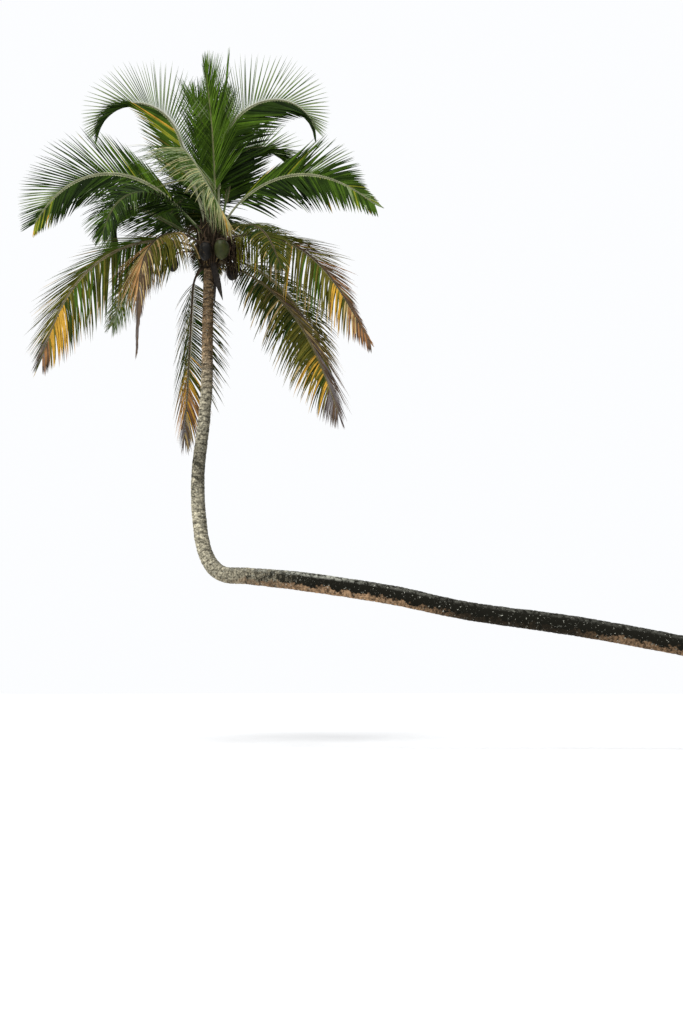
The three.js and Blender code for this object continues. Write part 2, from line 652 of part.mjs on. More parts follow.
plans.forEach((plan, number) => {
  const { frond } = plan;
  const ribsBefore = plans.slice(0, number).map((other) => other.fatRib);
  const ribsAfter = plans.slice(number + 1).map((other) => other.fatRib);
  const obstacles = standing.length;
  [...ribsBefore, ...ribsAfter].forEach(keepClearOf);
  const ownLeaflets = [];
  const last = PETIOLE_STEPS + LEAFLETS_A_SIDE;
  const cut = frond.split ? Math.round(frond.split * LEAFLETS_A_SIDE) + PETIOLE_STEPS : last;
  const pieces = frond.split
    ? [[`frond_${frond.name}_inner`, 0, cut], [`frond_${frond.name}_outer`, cut, last]]
    : [[`frond_${frond.name}`, 0, last]];
  const solids = pieces.map(([name, from, to]) => {
    const whole = frondPiece(plan, from, to, ownLeaflets);
    const clear = [heartSeat, ...ribsBefore].reduce((rest, cutter) => rest.subtract(cutter), whole);
    return [name, largest(clear)];
  });
  standing.length = obstacles;
  solids.forEach(([name, solid]) => {
    place(name, solid, Math.max(...frond.hang) > LIMP ? "old" : "blade");
    keepClearOf(solid);
  });
});

export default palm;
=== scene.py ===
"""Models a coconut palm: a trunk that leans far out and turns up at an elbow, and a full crown."""

import math

import bmesh
import bpy
import numpy as np
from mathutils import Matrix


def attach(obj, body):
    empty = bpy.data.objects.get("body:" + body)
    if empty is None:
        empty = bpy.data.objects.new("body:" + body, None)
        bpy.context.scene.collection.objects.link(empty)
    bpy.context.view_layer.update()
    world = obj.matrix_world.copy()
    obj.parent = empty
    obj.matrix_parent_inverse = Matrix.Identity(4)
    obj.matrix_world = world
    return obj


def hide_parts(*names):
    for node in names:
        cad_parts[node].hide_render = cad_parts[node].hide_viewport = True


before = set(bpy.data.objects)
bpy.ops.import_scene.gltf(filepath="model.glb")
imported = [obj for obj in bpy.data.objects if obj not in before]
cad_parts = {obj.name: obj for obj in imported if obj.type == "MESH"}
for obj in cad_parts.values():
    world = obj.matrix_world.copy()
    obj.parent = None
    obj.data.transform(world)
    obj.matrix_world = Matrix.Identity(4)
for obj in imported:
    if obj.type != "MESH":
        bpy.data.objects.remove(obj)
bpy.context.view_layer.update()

bl_info = {
    "name": "Leaning Coconut Palm",
    "version": (1, 0, 0),
    "blender": (4, 5, 0),
    "location": "View3D > Sidebar > Palm",
    "description": "Models a leaning coconut palm, leaflet by leaflet, around its solids",
    "category": "Add Mesh",
}

BODY = "root"
RIGHT = np.array([1.0, 0.0, 0.0])
AWAY = np.array([0.0, 1.0, 0.0])
UP = np.array([0.0, 0.0, 1.0])

# Lengths are in metres, and angles in degrees. Edges sharper than these angles stay sharp.
SHARP_EDGE = 50
LEAFLET_SHARP_EDGE = 24
STALK_SHARP_EDGE = 60
SPEAR_SHARP_EDGE = 40

# Trunk stations along its middle line: x, y, z and width
TRUNK = np.array([
    (0, 0, 0, 0.700),
    (-0.500, 0.010, 0.450, 0.430),
    (-1.400, 0.040, 0.960, 0.345),
    (-2.600, 0.080, 1.400, 0.320),
    (-3.930, 0.090, 1.690, 0.322),
    (-5.550, 0.050, 1.980, 0.320),
    (-7.240, -0.020, 2.210, 0.294),
    (-8.500, -0.050, 2.470, 0.310),
    (-9.930, -0.030, 2.690, 0.305),
    (-10.800, 0, 2.780, 0.268),
    (-11.250, 0.005, 2.830, 0.255),
    (-11.510, 0.010, 3.160, 0.236),
    (-11.630, 0.020, 3.800, 0.230),
    (-11.660, 0.025, 4.500, 0.218),
    (-11.590, 0.020, 5.300, 0.203),
    (-11.550, 0.010, 6.100, 0.195),
    (-11.560, 0, 7.000, 0.186),
    (-11.550, 0, 8.020, 0.190),
])
TRUNK_NODES = ("trunk_leaning", "trunk_elbow", "trunk_upright")
LAST_STATION = len(TRUNK) - 1
RINGS_PER_STRETCH = 8
TRUNK_SIDES = 48
TRUNK_CUTS = 9
FLARE_REACH = 1.2
FLARE_LOBES = 5
FLARE_DEPTH = 0.1

# Bark relief: sizes of its clouds, how near the trunk's two ends it stops, and steps of a scar's depth
LUMP_SIZE = 0.16
GRIT_SIZE = 0.035
BARK_CLOUD_DEPTH = 4
FOOT_MARGIN = 0.02
TOP_MARGIN = 0.01
SCAR_STEPS = 10
# Ring scars: half a scar's width, then how far a scar wavers and how uneven the gaps are, broad and fine,
# each with how fast it changes along the trunk, in radians a metre
SCAR_HALF_WIDTH = 0.012
SCAR_WAVERS = (0.010, 0.006)
WAVER_TURNS = (7.1, 11)
GAP_DRIFTS = (0.35, 0.2)
DRIFT_TURNS = (2.3, 5.7)
# Samples along the trunk to which its points are matched, and batches in which that is done
PLACE_SAMPLES = 700
PLACE_BATCHES = 60

# Crown heart: radius and height pairs, and how far its top leans
HEART_FOOT = TRUNK[-1, :3]
HEART_LEAN = 0.06
HEART_PROFILE = [
    (0.104, 0), (0.150, 0.110), (0.205, 0.260), (0.232, 0.420),
    (0.215, 0.600), (0.165, 0.780), (0.105, 0.940), (0.052, 1.060),
]
HEART_HEIGHT = 1.1
HEART_SIDES = 32
HEART_CLEARANCE = 0.001
HEART_LUMP_SIZE = 0.05
HEART_LUMP_HEIGHT = 0.05
HEART_SEED = 5
# Angle from each leaf to the next round a palm, in radians
LEAF_TURN = 2.4

# Loose fibres of the heart, drawn from ranges
FIBRE_RINGS = 7
FIBRE_TOPS = (0.15, 0.95)
FIBRE_DROPS = (0.15, 0.5)
FIBRE_LOWEST = 0.02
FIBRE_SWAY = 0.5
FIBRE_LIFT = 0.012
FIBRE_LOOSE = (0.0, 0.06)
FIBRE_HALF_WIDTHS = (0.0015, 0.006)

# Feet of shed leaves, from the heart's foot to its top
STUMPS = 90
STUMP_RINGS = 6
STUMP_HEIGHTS = (0.05, 0.90)
STUMP_HIGHEST = 1.05
STUMP_LENGTHS = (0.16, 0.36)
STUMP_HALF_WIDTHS = (0.008, 0.024)
STUMP_THICKNESS = 0.016
STUMP_LIFT = 0.015
STUMP_FLARE = 0.10

SEAT_LOW = np.array([-11.53, 0, 8.05])
SEAT_HIGH = np.array([-11.47, 0, 9.0])
SEAT_REACH = 0.1

# Frond growth, by the same rule as the solids
RIB_WIDTH = (0.105, 0.062, 0.014)
RIB_DEPTH = (0.070, 0.048, 0.012)
NECK_AT = 0.08
RIB_SLIM = 0.68
LENGTHS_AT = (0, 0.25, 0.5, 0.75, 1)
LENGTHS = (0.74, 1, 1, 0.74, 0.3)
LENGTH_DRIFT = 0.12
OPEN_AT = (0, 0.15, 0.4, 0.7, 1)
OPEN_WIDE = (80, 68, 62, 56, 22)
OPEN_YOUNG = (45, 34, 26, 18, 8)
FALL_CURVE = 1.3
OPEN_SCATTER = 1.4
HANG_SCATTER = 0.1
STAGGER = 7
RIB_SAMPLES = 60
RIB_RINGS = 72
RIB_SIDES = 10
# How much closer a rib's rings lie near its foot, and the foot's reach, added width and lost depth
RIB_CROWDING = 1.15
FOOT_REACH = 0.1
FOOT_BROADER = 0.45
FOOT_FLATTER = 0.15
# Where on the rib's width leaflets root, and the seed of the first frond's leaflets
LEAFLET_ROOT = 0.42
LEAFLET_SEED = 11

# A frond's plan, where it says nothing else: "side" is where its rib is seated, "swing" how far the rib turns
# on its way, "roll" how the blade tilts, "lift" and "hang" how far the leaflets rise and fall, "open" how far
# they spread from the rib, "first" where they begin, "wide" their width, "uneven" how much they vary, and
# "arched" whether its solid is split at the bend
DEFAULTS = {
    "side": None, "swing": 0, "roll": 0, "lift": (0, 0), "hang": (0.1, 0.1), "open": (OPEN_WIDE, OPEN_WIDE),
    "first": 0.2, "lengths": (LENGTHS, LENGTHS), "wide": (0.7, 0.7), "uneven": 1, "arched": False,
    "tint": ("green", "green"), "rib": "rib_green",
}


def frond(name, group, bearing, rise, droop, bend, length, seat, leaflet, **more):
    """One frond's plan in degrees and metres, where values in pairs are for the two sides of its rib."""
    plan = dict(DEFAULTS, name=name, group=group, bearing=bearing, rise=rise, droop=droop, bend=bend)
    plan.update(length=length, seat=seat, leaflet=leaflet)
    plan.update(more)
    return plan


FRONDS = [
    frond("top_left", "top", 184, 73, -100, (0.41, 1.18), 3.79, 0.7, 0.93, roll=90, lift=(10, 10),
          open=((35, 48, 58, 48, 22), (40, 46, 36, 16, 8)), arched=True, wide=(0.42, 0.85), uneven=0.4,
          tint=("fan", "arch_left"), rib="rib_pale"),
    frond("top_right", "top", 350, 92, -125, (0.22, 1.35), 3.91, 0.7, 0.95, side=335, roll=-90,
          lift=(10, 10), open=((78, 74, 64, 26, 8), (34, 46, 60, 50, 24)), arched=True,
          wide=(1.1, 0.42), uneven=0.4, tint=("arch_right", "fan"), rib="rib_pale"),
    frond("right", "side", 340, 118, -44, (-0.6, 1.05), 3.40, 0.6, 0.84, roll=-80, lift=(10, 10),
          hang=(0.2, 0.2), open=((72, 58, 52, 40, 26), (4, 12, 50, 24, 12)), arched=True,
          wide=(0.85, 0.75), uneven=1.2,
          lengths=((1.1, 1.3, 1.1, 0.7, 0.35), (0.9, 1.05, 0.95, 0.5, 0.25)),
          tint=("right", "side_fan"), rib="rib_pale"),
    frond("left", "side", 189, 46, -65, (0.13, 1.04), 3.68, 0.58, 0.96, roll=80, lift=(10, 10),
          hang=(0.1, 0.3), open=((10, 20, 50, 46, 25), (75, 60, 50, 42, 20)), arched=True,
          wide=(0.58, 0.85), uneven=0.6, tint=("side_fan", "left"), rib="rib_pale"),
    frond("low_left", "low", 187, 100, -77, (-0.8, 1.02), 3.87, 0.3, 1.20, roll=58, lift=(-10, -10),
          hang=(0.2, 1.6), open=((8, 14, 22, 24, 14), (84, 72, 58, 44, 20)), first=0.12,
          lengths=((0.6, 0.85, 0.9, 0.7, 0.3), LENGTHS), arched=True, wide=(0.6, 0.8), uneven=2,
          tint=("low_left_upper", "low_left"), rib="rib_tan"),
    frond("low_right", "low", 350, 120, -62, (-0.95, 0.84), 3.62, 0.5, 1.10, roll=-55, lift=(-5, -5),
          hang=(1.6, 0.3), open=((84, 74, 56, 38, 20), (12, 14, 40, 20, 10)), first=0.08,
          lengths=((0.7, 1, 1, 0.6, 0.2), (0.5, 0.85, 0.6, 0.35, 0.12)), arched=True, wide=(0.75, 0.6),
          uneven=2.4, tint=("low_right", "low_right_upper"), rib="rib_brown"),
    frond("hanging_right", "low", 357, 10, -72, (-0.65, 0.95), 3.57, 0.15, 1.08, roll=-40,
          lift=(-10, -10), hang=(1.1, 0.5), open=((80, 74, 70, 60, 24), (28, 28, 26, 20, 10)),
          wide=(0.7, 0.55), uneven=2, tint=("hanging_right", "hanging_right_upper"), rib="rib_tan"),
    frond("front", "side", 227, 86, -61, (-0.32, 0.85), 4.12, 0.75, 0.90, side=250, swing=127, roll=5,
          lift=(-12, -42), hang=(0.6, 0.6), arched=True, wide=(0.42, 0.42), uneven=2.5,
          tint=("front", "front"), rib="rib_pale"),
    frond("dry_front_left", "dry", 226, 100, -90, (-0.5, 0.75), 3.15, 0.3, 0.90, lift=(-20, -20),
          hang=(1.0, 2.6), open=((48, 34, 24, 10, 6), (80, 60, 34, 14, 8)),
          lengths=((1.25, 1.3, 0.7, 0.35, 0.22), (1, 1.1, 0.6, 0.3, 0.2)), wide=(0.5, 0.5), uneven=2.6,
          tint=("dry", "dry_inner"), rib="rib_brown"),
    frond("hanging_back_left", "low", 142, 20, -88, (-0.08, 0.2), 3.20, 0.1, 0.94, roll=-80,
          lift=(32, 32), hang=(0.7, 0.7), open=((70, 62, 54, 30, 12), (66, 48, 42, 34, 16)),
          wide=(0.48, 0.48), first=0.14, uneven=2, tint=("hanging_back", "hanging_back"), rib="rib_brown"),
    frond("top_back_left", "top", 172, 86, 70, (0.3, 1), 2.50, 0.9, 1.05, side=125, roll=60,
          lift=(20, 20), open=(OPEN_YOUNG, OPEN_YOUNG), wide=(0.5, 0.5), uneven=3.5,
          tint=("fresh", "fresh")),
    frond("top_back_right", "top", 80, 86, 78, (0.3, 1), 2.70, 0.9, 0.80, side=68, lift=(25, 25),
          open=(OPEN_YOUNG, OPEN_YOUNG), wide=(0.55, 0.55), uneven=3.5, tint=("deep", "deep")),
    frond("top_front", "top", 220, 86, 80, (0.3, 1), 2.80, 0.85, 0.95, side=290, lift=(25, 25),
          open=(OPEN_YOUNG, OPEN_YOUNG), wide=(0.5, 0.5), uneven=3.5, tint=("fresh", "fresh")),
    frond("high_right_back", "side", 30, 81, -66, (0.32, 1.04), 3.15, 0.68, 0.88, side=10, roll=-70,
          lift=(10, 10), open=((60, 52, 38, 20, 12), (40, 52, 60, 44, 20)), arched=True,
          wide=(1, 0.45), tint=("deep", "fan"), rib="rib_green"),
    frond("left_back", "side", 161, 33, -97, (0.5, 0.93), 2.81, 0.5, 0.72, roll=80, lift=(5, 5),
          hang=(0.2, 0.2), open=((20, 30, 50, 46, 25), (75, 60, 50, 42, 20)), wide=(0.45, 0.6),
          tint=("left_back", "deep")),
    frond("upper_back_left", "back", 128, 70, -30, (0.1, 1), 2.50, 0.65, 0.70, lift=(5, 5),
          hang=(0.6, 0.6), tint=("deep", "deep")),
    frond("low_back_left", "low", 165, 34, -72, (0, 0.80), 2.60, 0.2, 0.75, hang=(1.2, 1.2),
          open=((80, 68, 60, 56, 40), (80, 68, 60, 56, 40)), wide=(0.5, 0.5), uneven=2,
          tint=("low_back_left", "low_back_left"), rib="rib_green"),
    frond("low_back_right", "low", 45, 5, -70, (0, 1), 3.40, 0.3, 0.95, lift=(-5, -5), hang=(1, 1),
          tint=("ageing", "ageing"), rib="rib_tan"),
    frond("high_back", "back", 108, 76, -40, (0.2, 1), 3.70, 0.6, 0.95, lift=(10, 10), hang=(0.4, 0.4),
          arched=True, tint=("deep", "deep")),
    frond("back", "back", 98, 54, -30, (0.1, 1), 3.50, 0.45, 0.90, hang=(0.8, 0.8), arched=True,
          tint=("ageing", "ageing"), rib="rib_tan"),
    frond("low_back", "low", 100, 50, -14, (0, 0.9), 2.00, 0.1, 0.40, hang=(0.8, 0.8),
          tint=("shade", "shade"), rib="rib_brown"),
    frond("front_right", "side", 316, 12, -64, (0, 0.9), 2.10, 0.5, 0.60, roll=-20, lift=(5, 5),
          hang=(1, 1), wide=(0.5, 0.5), uneven=2.4, tint=("moss", "moss"), rib="rib_brown"),
    frond("front_left", "side", 215, 40, -77, (0.11, 0.99), 2.59, 0.5, 0.80, roll=30, lift=(5, 5),
          hang=(0.6, 0.6), wide=(0.6, 0.6), tint=("deep", "deep")),
]
FROND_GROUPS = {"top": "green_frond", "side": "green_frond", "back": "green_frond",
                "low": "old_frond", "dry": "dry_frond"}

# Which finishes a side's leaflets take: up to each share of the blade, names and how often each comes
TINTS = {
    "green": [(1, {"deep": 4, "green": 4, "fresh": 1})],
    "deep": [(1, {"shade": 3, "deep": 5, "green": 2})],
    "shade": [(1, {"shade": 3, "deep": 1})],
    "moss": [(1, {"moss": 4, "deep": 3, "olive": 1})],
    "fresh": [(1, {"deep": 3, "green": 5, "fresh": 4})],
    # The fans' pale outer ends are painted sheen over the leaflets' pale backs.
    "fan": [(0.3, {"deep": 2, "green": 4, "fresh": 2}), (0.5, {"green": 3, "fresh": 2, "sage": 2}),
            (1, {"sage": 6, "green": 1, "fresh": 2})],
    "side_fan": [(0.5, {"deep": 4, "green": 4, "fresh": 2, "lime": 1}),
                 (0.75, {"green": 4, "deep": 4, "sage": 1}),
                 (1, {"sage": 3, "green": 3, "lime": 1, "deep": 2})],
    "arch_left": [(0.25, {"deep": 3, "green": 4, "olive": 1}), (0.42, {"green": 8, "lime": 3, "gold": 1}),
                  (0.6, {"deep": 3, "green": 4}), (1, {"shade": 3, "deep": 4})],
    "arch_right": [(0.3, {"shade": 4, "deep": 4}), (0.5, {"deep": 4, "green": 3, "fresh": 1}),
                   (1, {"shade": 4, "deep": 3})],
    "right": [(0.45, {"deep": 4, "shade": 4, "green": 1}), (0.7, {"green": 3, "deep": 4, "lime": 1}),
              (1, {"green": 3, "lime": 1, "deep": 2, "sage": 1})],
    "left": [(0.35, {"green": 2, "deep": 4, "shade": 2}), (0.8, {"shade": 4, "deep": 4, "green": 1}),
             (1, {"green": 3, "lime": 3, "deep": 1})],
    "left_back": [(0.6, {"deep": 4, "green": 2}), (1, {"sage": 4, "green": 1})],
    "front": [(0.5, {"sage": 3, "green": 3, "deep": 3, "cream": 1}),
              (0.9, {"cream": 4, "sage": 3, "green": 2, "deep": 1}),
              (1, {"straw": 3, "cream": 2, "gold": 1})],
    "low_left": [(0.3, {"moss": 4, "deep": 3, "green": 2}), (0.62, {"moss": 4, "green": 3, "olive": 2}),
                 (0.68, {"gold": 3, "olive": 2, "moss": 2}), (0.74, {"moss": 3, "deep": 2}),
                 (0.9, {"gold": 5, "olive": 1}), (0.96, {"rust": 3, "umber": 1}),
                 (1, {"ash": 3, "umber": 2})],
    "low_left_upper": [(0.4, {"moss": 4, "green": 2}), (0.8, {"moss": 4, "umber": 1, "olive": 2}),
                       (1, {"moss": 3, "umber": 1, "straw": 1, "ash": 1})],
    "low_right": [(0.12, {"olive": 3, "moss": 3, "lime": 2}),
                  (0.3, {"moss": 4, "olive": 3, "lime": 1, "gold": 1}),
                  (0.55, {"moss": 4, "green": 2, "olive": 3}), (0.62, {"olive": 3, "moss": 2}),
                  (0.74, {"gold": 5, "olive": 1}), (0.85, {"moss": 2, "rust": 2, "straw": 2}),
                  (1, {"umber": 3, "rust": 1})],
    "low_right_upper": [(0.3, {"olive": 3, "moss": 3}), (0.7, {"umber": 4, "rust": 2, "olive": 1}),
                        (1, {"rust": 2, "umber": 3})],
    "hanging_right": [(0.35, {"moss": 5, "deep": 3, "olive": 2, "straw": 1}),
                      (0.62, {"moss": 4, "olive": 3, "gold": 1}),
                      (0.82, {"moss": 2, "olive": 2, "gold": 3, "deep": 1}), (1, {"ash": 4, "umber": 2})],
    "hanging_right_upper": [(0.45, {"umber": 2, "olive": 3, "straw": 2, "ash": 1}),
                            (0.7, {"umber": 3, "ash": 2, "straw": 1}), (1, {"ash": 4, "umber": 3})],
    "hanging_back": [(0.45, {"moss": 4, "deep": 3, "olive": 1}), (0.62, {"olive": 3, "gold": 1, "moss": 2}),
                     (0.8, {"rust": 3, "gold": 3, "tan": 2}), (1, {"ash": 4, "straw": 2, "umber": 1})],
    "low_back_left": [(0.6, {"moss": 3, "green": 3}), (1, {"sage": 3, "green": 4, "lime": 1})],
    "dry": [(0.3, {"straw": 5, "olive": 1, "tan": 3}), (0.6, {"tan": 5, "rust": 2, "straw": 3}),
            (1, {"umber": 2, "ash": 4})],
    "dry_inner": [(0.3, {"olive": 4, "moss": 3, "straw": 2}), (0.6, {"straw": 2, "umber": 3, "olive": 1}),
                  (1, {"umber": 3, "ash": 3})],
    "ageing": [(0.5, {"deep": 4, "moss": 3}), (0.85, {"moss": 3, "olive": 3}), (1, {"olive": 3, "gold": 1})],
}
TINT_WANDER = 0.03
# What the outer end of some leaflets turns to, and how often
TIP_CHANGES = {
    "lime": ("gold", 0.3), "olive": ("straw", 0.25), "gold": ("rust", 0.2), "straw": ("umber", 0.3),
    "rust": ("umber", 0.4), "moss": ("straw", 0.12), "green": ("sage", 0.12),
}
LEAF_FINISHES = ("shade", "deep", "green", "fresh", "lime", "sage", "moss", "olive", "cream", "straw",
                 "tan", "gold", "rust", "umber", "ash", "pale_foot", "dull_foot")
DRY_FINISHES = ("cream", "straw", "tan", "rust", "umber", "ash")
RIB_FINISHES = ("rib_pale", "rib_green", "rib_tan", "rib_brown")

# Leaflet outline: shares of its length, and its width there
LEAFLET_STOPS = np.array([0, 0.03, 0.1, 0.22, 0.38, 0.54, 0.7, 0.86, 1])
LEAFLET_WIDTHS = np.array([0.9, 0.8, 0.95, 1, 0.96, 0.83, 0.6, 0.34, 0])
LEAFLET_TIP_THICKNESS = 0.0012
LEAFLET_FOOT_THICKER = 0.002
# How many of its outer stretches take a leaflet's tip finish, one number or the other
TIP_STRETCHES = (3, 2)

# Nuts: where each stalk leaves the heart, its bow, the nut's middle, its width and height, and its husk
BUNCHES = [
    ("nut_front_right", (-11.445, -0.125, 8.330), (-11.335, -0.300, 8.440), (-11.312, -0.330, 8.245),
     0.255, 0.350, "green_husk"),
    ("nut_front", (-11.530, -0.130, 8.450), (-11.575, -0.270, 8.470), (-11.585, -0.300, 8.225),
     0.215, 0.330, "old_husk"),
    ("nut_right", (-11.420, 0.085, 8.250), (-11.260, 0.160, 8.268), (-11.190, 0.200, 8.075),
     0.215, 0.310, "old_husk"),
    ("nut_back", (-11.480, 0.140, 8.630), (-11.400, 0.300, 8.660), (-11.385, 0.345, 8.425),
     0.225, 0.320, "old_husk"),
    ("nut_left", (-11.620, 0.020, 8.330), (-12.020, -0.040, 8.330), (-12.165, -0.070, 8.085),
     0.180, 0.250, "old_husk"),
]
# How far a nut's three sides, its broad shoulder and its narrow foot change its width
NUT_SIDED = 0.05
NUT_SHOULDER = 0.10
NUT_NARROWING = 0.12
STALK_RINGS = 12
STALK_SIDES = 10
STALK_RADIUS = 0.017
STALK_TAPER = 0.004
# Where a stalk meets its nut, above the nut's middle, as a share of the nut's height
STALK_SEAT = 0.46
# Cap of a nut: its rings' radii as shares of the nut's width, and their places above the nut's middle as
# shares of the nut's height
CAP_PROFILE = [(0.1, 0.46), (0.30, 0.40), (0.36, 0.38), (0.34, 0.45), (0.24, 0.505), (0.10, 0.52)]
CAP_SIDES = 24
CAP_SCALES = 6
CAP_SCALE_REACH = 0.16
CAP_PLAIN_RADIUS = 0.25

# Spent flower stalks: foot, way, number of twigs, their length, spread and fall
FLOWER_STALKS = [
    ((-11.36, -0.16, 8.62), (0.5, -0.5, 1.0), 46, 0.42, 0.35, 1.2),
    ((-11.25, -0.05, 8.50), (0.9, -0.2, 0.2), 60, 0.50, 0.40, 2.2),
    ((-11.22, 0.00, 8.40), (0.9, -0.3, 0.3), 110, 0.75, 0.60, 2.6),
    ((-11.22, -0.05, 8.28), (0.7, -0.3, -0.2), 110, 0.60, 0.50, 2.4),
    ((-11.72, -0.10, 8.72), (-0.9, -0.3, 0.5), 40, 0.45, 0.35, 2.0),
    ((-11.55, -0.17, 8.86), (-0.2, -0.6, 1.0), 26, 0.34, 0.30, 0.8),
    ((-11.50, 0.18, 8.60), (0.2, 1.0, 0.3), 50, 0.50, 0.40, 2.0),
    ((-11.74, 0.08, 8.45), (-1.0, 0.4, 0.1), 30, 0.40, 0.35, 2.2),
]
TWIG_STRETCHES = 8
TWIG_FOOT_SCATTER = 0.025
TWIG_REACHES = (0.6, 1.0)
TWIG_BENDS = (0.7, 1.3)
TWIG_HALF_WIDTHS = (0.004, 0.009)
TWIG_KNOTS = 0.35
# Ways in which no twig and no stalk points, so that each has a side
TWIG_SIDE = np.array([0.0, 1.0, 0.1])
STALK_SIDE = np.array([0.0, 1.0, 0.02])

# Flower sheaths: top, foot, width and depth
SHEATHS = [
    ("old_sheath", (-11.500, -0.135, 8.140), (-11.278, -0.250, 7.362), 0.120, 0.034),
    ("old_sheath_thin", (-11.440, -0.085, 8.140), (-11.425, -0.215, 7.216), 0.046, 0.026),
]
SHEATH_RINGS = 14
SHEATH_SIDES = 16
SHEATH_BOW = 0.03
SHEATH_HOLLOW = 0.55
SHEATH_GRAIN_SIZE = 0.03
SHEATH_GRAIN_HEIGHT = 0.006

SPEAR_FOOT = np.array([-11.480, 0.035, 9.050])
SPEAR_TIP = np.array([-11.310, 0.120, 12.340])
SPEAR_RINGS = 10
SPEAR_SEED = 3
# Folded leaflets of the spear: where the first starts and how far on the last, and their reach, as shares
# of its length, then half of one's width and how far off the middle they lie
SPEAR_BLADES = 26
SPEAR_FIRST_BLADE = 0.05
SPEAR_BLADE_SPAN = 0.6
SPEAR_BLADE_REACH = 0.42
SPEAR_BLADE_HALF_WIDTH = 0.017
SPEAR_BLADE_OFF = (0.012, 0.028)
SPEAR_CORE_REACH = 0.97
SPEAR_CORE_RADIUS = 0.03

# Camera, as the photo was taken, and the stage
CAMERA_PLACE = (-9.3, -16.0, 1.0)
CAMERA_PITCH = 100.03
CAMERA_LENS = 35
CAMERA_SENSOR = 36
CAMERA_SIGHT = 1000
FLOOR_PLACE = (-6, 20, -0.002)
FLOOR_RADIUS = 140
SKY = (0.975, 0.985, 1.0)
KEY_TILT = (32, -14, 0)
KEY_SPREAD = 25


def unit(vectors):
    """Vectors of the same ways, each 1 long."""
    return vectors / np.linalg.norm(vectors, axis=-1, keepdims=True)


def smooth(t):
    """A share from 0 to 1 that starts and ends gently."""
    return t * t * (3 - 2 * t)


def colour(name, text, default):
    """A colour that the user may change."""
    return bpy.props.FloatVectorProperty(
        name=name, description=text, default=default, size=3, min=0, max=1, subtype="COLOR")


def metres(name, text, default):
    """A length that the user may change."""
    return bpy.props.FloatProperty(
        name=name, description=text, default=default, min=0, subtype="DISTANCE", unit="LENGTH")


class PalmTrunkSettings(bpy.types.PropertyGroup):
    scar_gap: metres("Scar gap", "Distance between the ring scars that old fronds left", 0.085)
    scar_depth: metres("Scar depth", "How deep a ring scar is cut into the bark", 0.006)
    lump_height: metres("Lump height", "Height of the bark's broad lumps", 0.016)
    grit_height: metres("Grit height", "Height of the bark's fine roughness", 0.007)
    grey: colour("Grey bark", "Bark of the upright trunk", (0.42, 0.385, 0.280))
    rose: colour("Rose bark", "Bark under the crown", (0.270, 0.185, 0.105))
    dark: colour("Dark moss", "Dark growth on the leaning trunk", (0.0085, 0.0080, 0.0055))
    tan: colour("Tan bark", "Bare bark under the leaning trunk", (0.380, 0.240, 0.135))
    # Lichen colour, which also paints a highlight along the top of the leaning trunk
    lichen_and_highlight: colour("Lichen", "Pale growth on the bark", (0.50, 0.50, 0.42))


class PalmFrondSettings(bpy.types.PropertyGroup):
    leaflets_a_side: bpy.props.IntProperty(
        name="Leaflets a side", description="Leaflets on each side of a frond", default=120, min=10, max=160)
    leaflet_width: metres("Leaflet width", "Width of a leaflet where it is widest", 0.048)
    fold: bpy.props.FloatProperty(
        name="Fold", description="How far each half of a leaflet folds down from flat",
        default=math.radians(32), min=0, max=1.4, subtype="ANGLE", unit="ROTATION")


class PalmLeafColours(bpy.types.PropertyGroup):
    shade: colour("Shaded green", "Leaflets deep in the crown", (0.007, 0.016, 0.002))
    deep: colour("Deep green", "Grown leaflets", (0.018, 0.039, 0.003))
    green: colour("Green", "Leaflets in the light", (0.048, 0.095, 0.007))
    fresh: colour("Fresh green", "Young leaflets", (0.083, 0.160, 0.011))
    lime: colour("Lime", "Leaflets about to turn", (0.225, 0.240, 0.020))
    # Partly the pale backs of leaflets, partly painted sheen of the sky on glossy leaflets
    sage: colour("Sage", "Pale backs of leaflets", (0.195, 0.250, 0.115))
    moss: colour("Moss", "Grown leaflets that begin to fade", (0.055, 0.060, 0.006))
    olive: colour("Olive", "Ageing leaflets", (0.130, 0.116, 0.016))
    cream: colour("Cream", "Pale turned leaflets", (0.360, 0.350, 0.165))
    straw: colour("Straw", "Dry pale leaflets", (0.410, 0.300, 0.130))
    tan: colour("Tan", "Dry orange leaflets", (0.400, 0.215, 0.085))
    gold: colour("Gold", "Turned leaflets", (0.500, 0.285, 0.035))
    rust: colour("Rust", "Dry leaflets", (0.260, 0.128, 0.050))
    umber: colour("Umber", "Old dry leaflets", (0.105, 0.068, 0.042))
    ash: colour("Ash", "Dead grey leaflets", (0.140, 0.122, 0.118))
    pale_foot: colour("Pale leaflet foot", "Foot of a high frond's leaflet", (0.310, 0.325, 0.180))
    dull_foot: colour("Dull leaflet foot", "Foot of a low frond's leaflet", (0.170, 0.150, 0.075))
    rib_pale: colour("Pale rib", "Rib of the high fronds", (0.215, 0.225, 0.135))
    rib_green: colour("Green rib", "Rib of young fronds", (0.075, 0.105, 0.035))
    rib_tan: colour("Tan rib", "Rib of grown fronds", (0.160, 0.130, 0.070))
    rib_brown: colour("Brown rib", "Rib of old fronds", (0.065, 0.044, 0.028))


class PalmHeartSettings(bpy.types.PropertyGroup):
    strands: bpy.props.IntProperty(
        name="Strands", description="Loose fibres round the heart", default=420, min=0, max=2000)
    fibre: colour("Fibre", "Matted fibre of the heart", (0.020, 0.015, 0.009))
    husk: colour("Husk", "Green husk of the nuts", (0.034, 0.041, 0.009))
    # Partly the aged husk's own dark brown, partly painted shade on the nuts under the crown
    old_husk: colour("Old husk", "Darkened husk of the nuts behind", (0.006, 0.005, 0.004))
    sheath: colour("Sheath", "Blackened flower sheath", (0.022, 0.018, 0.015))


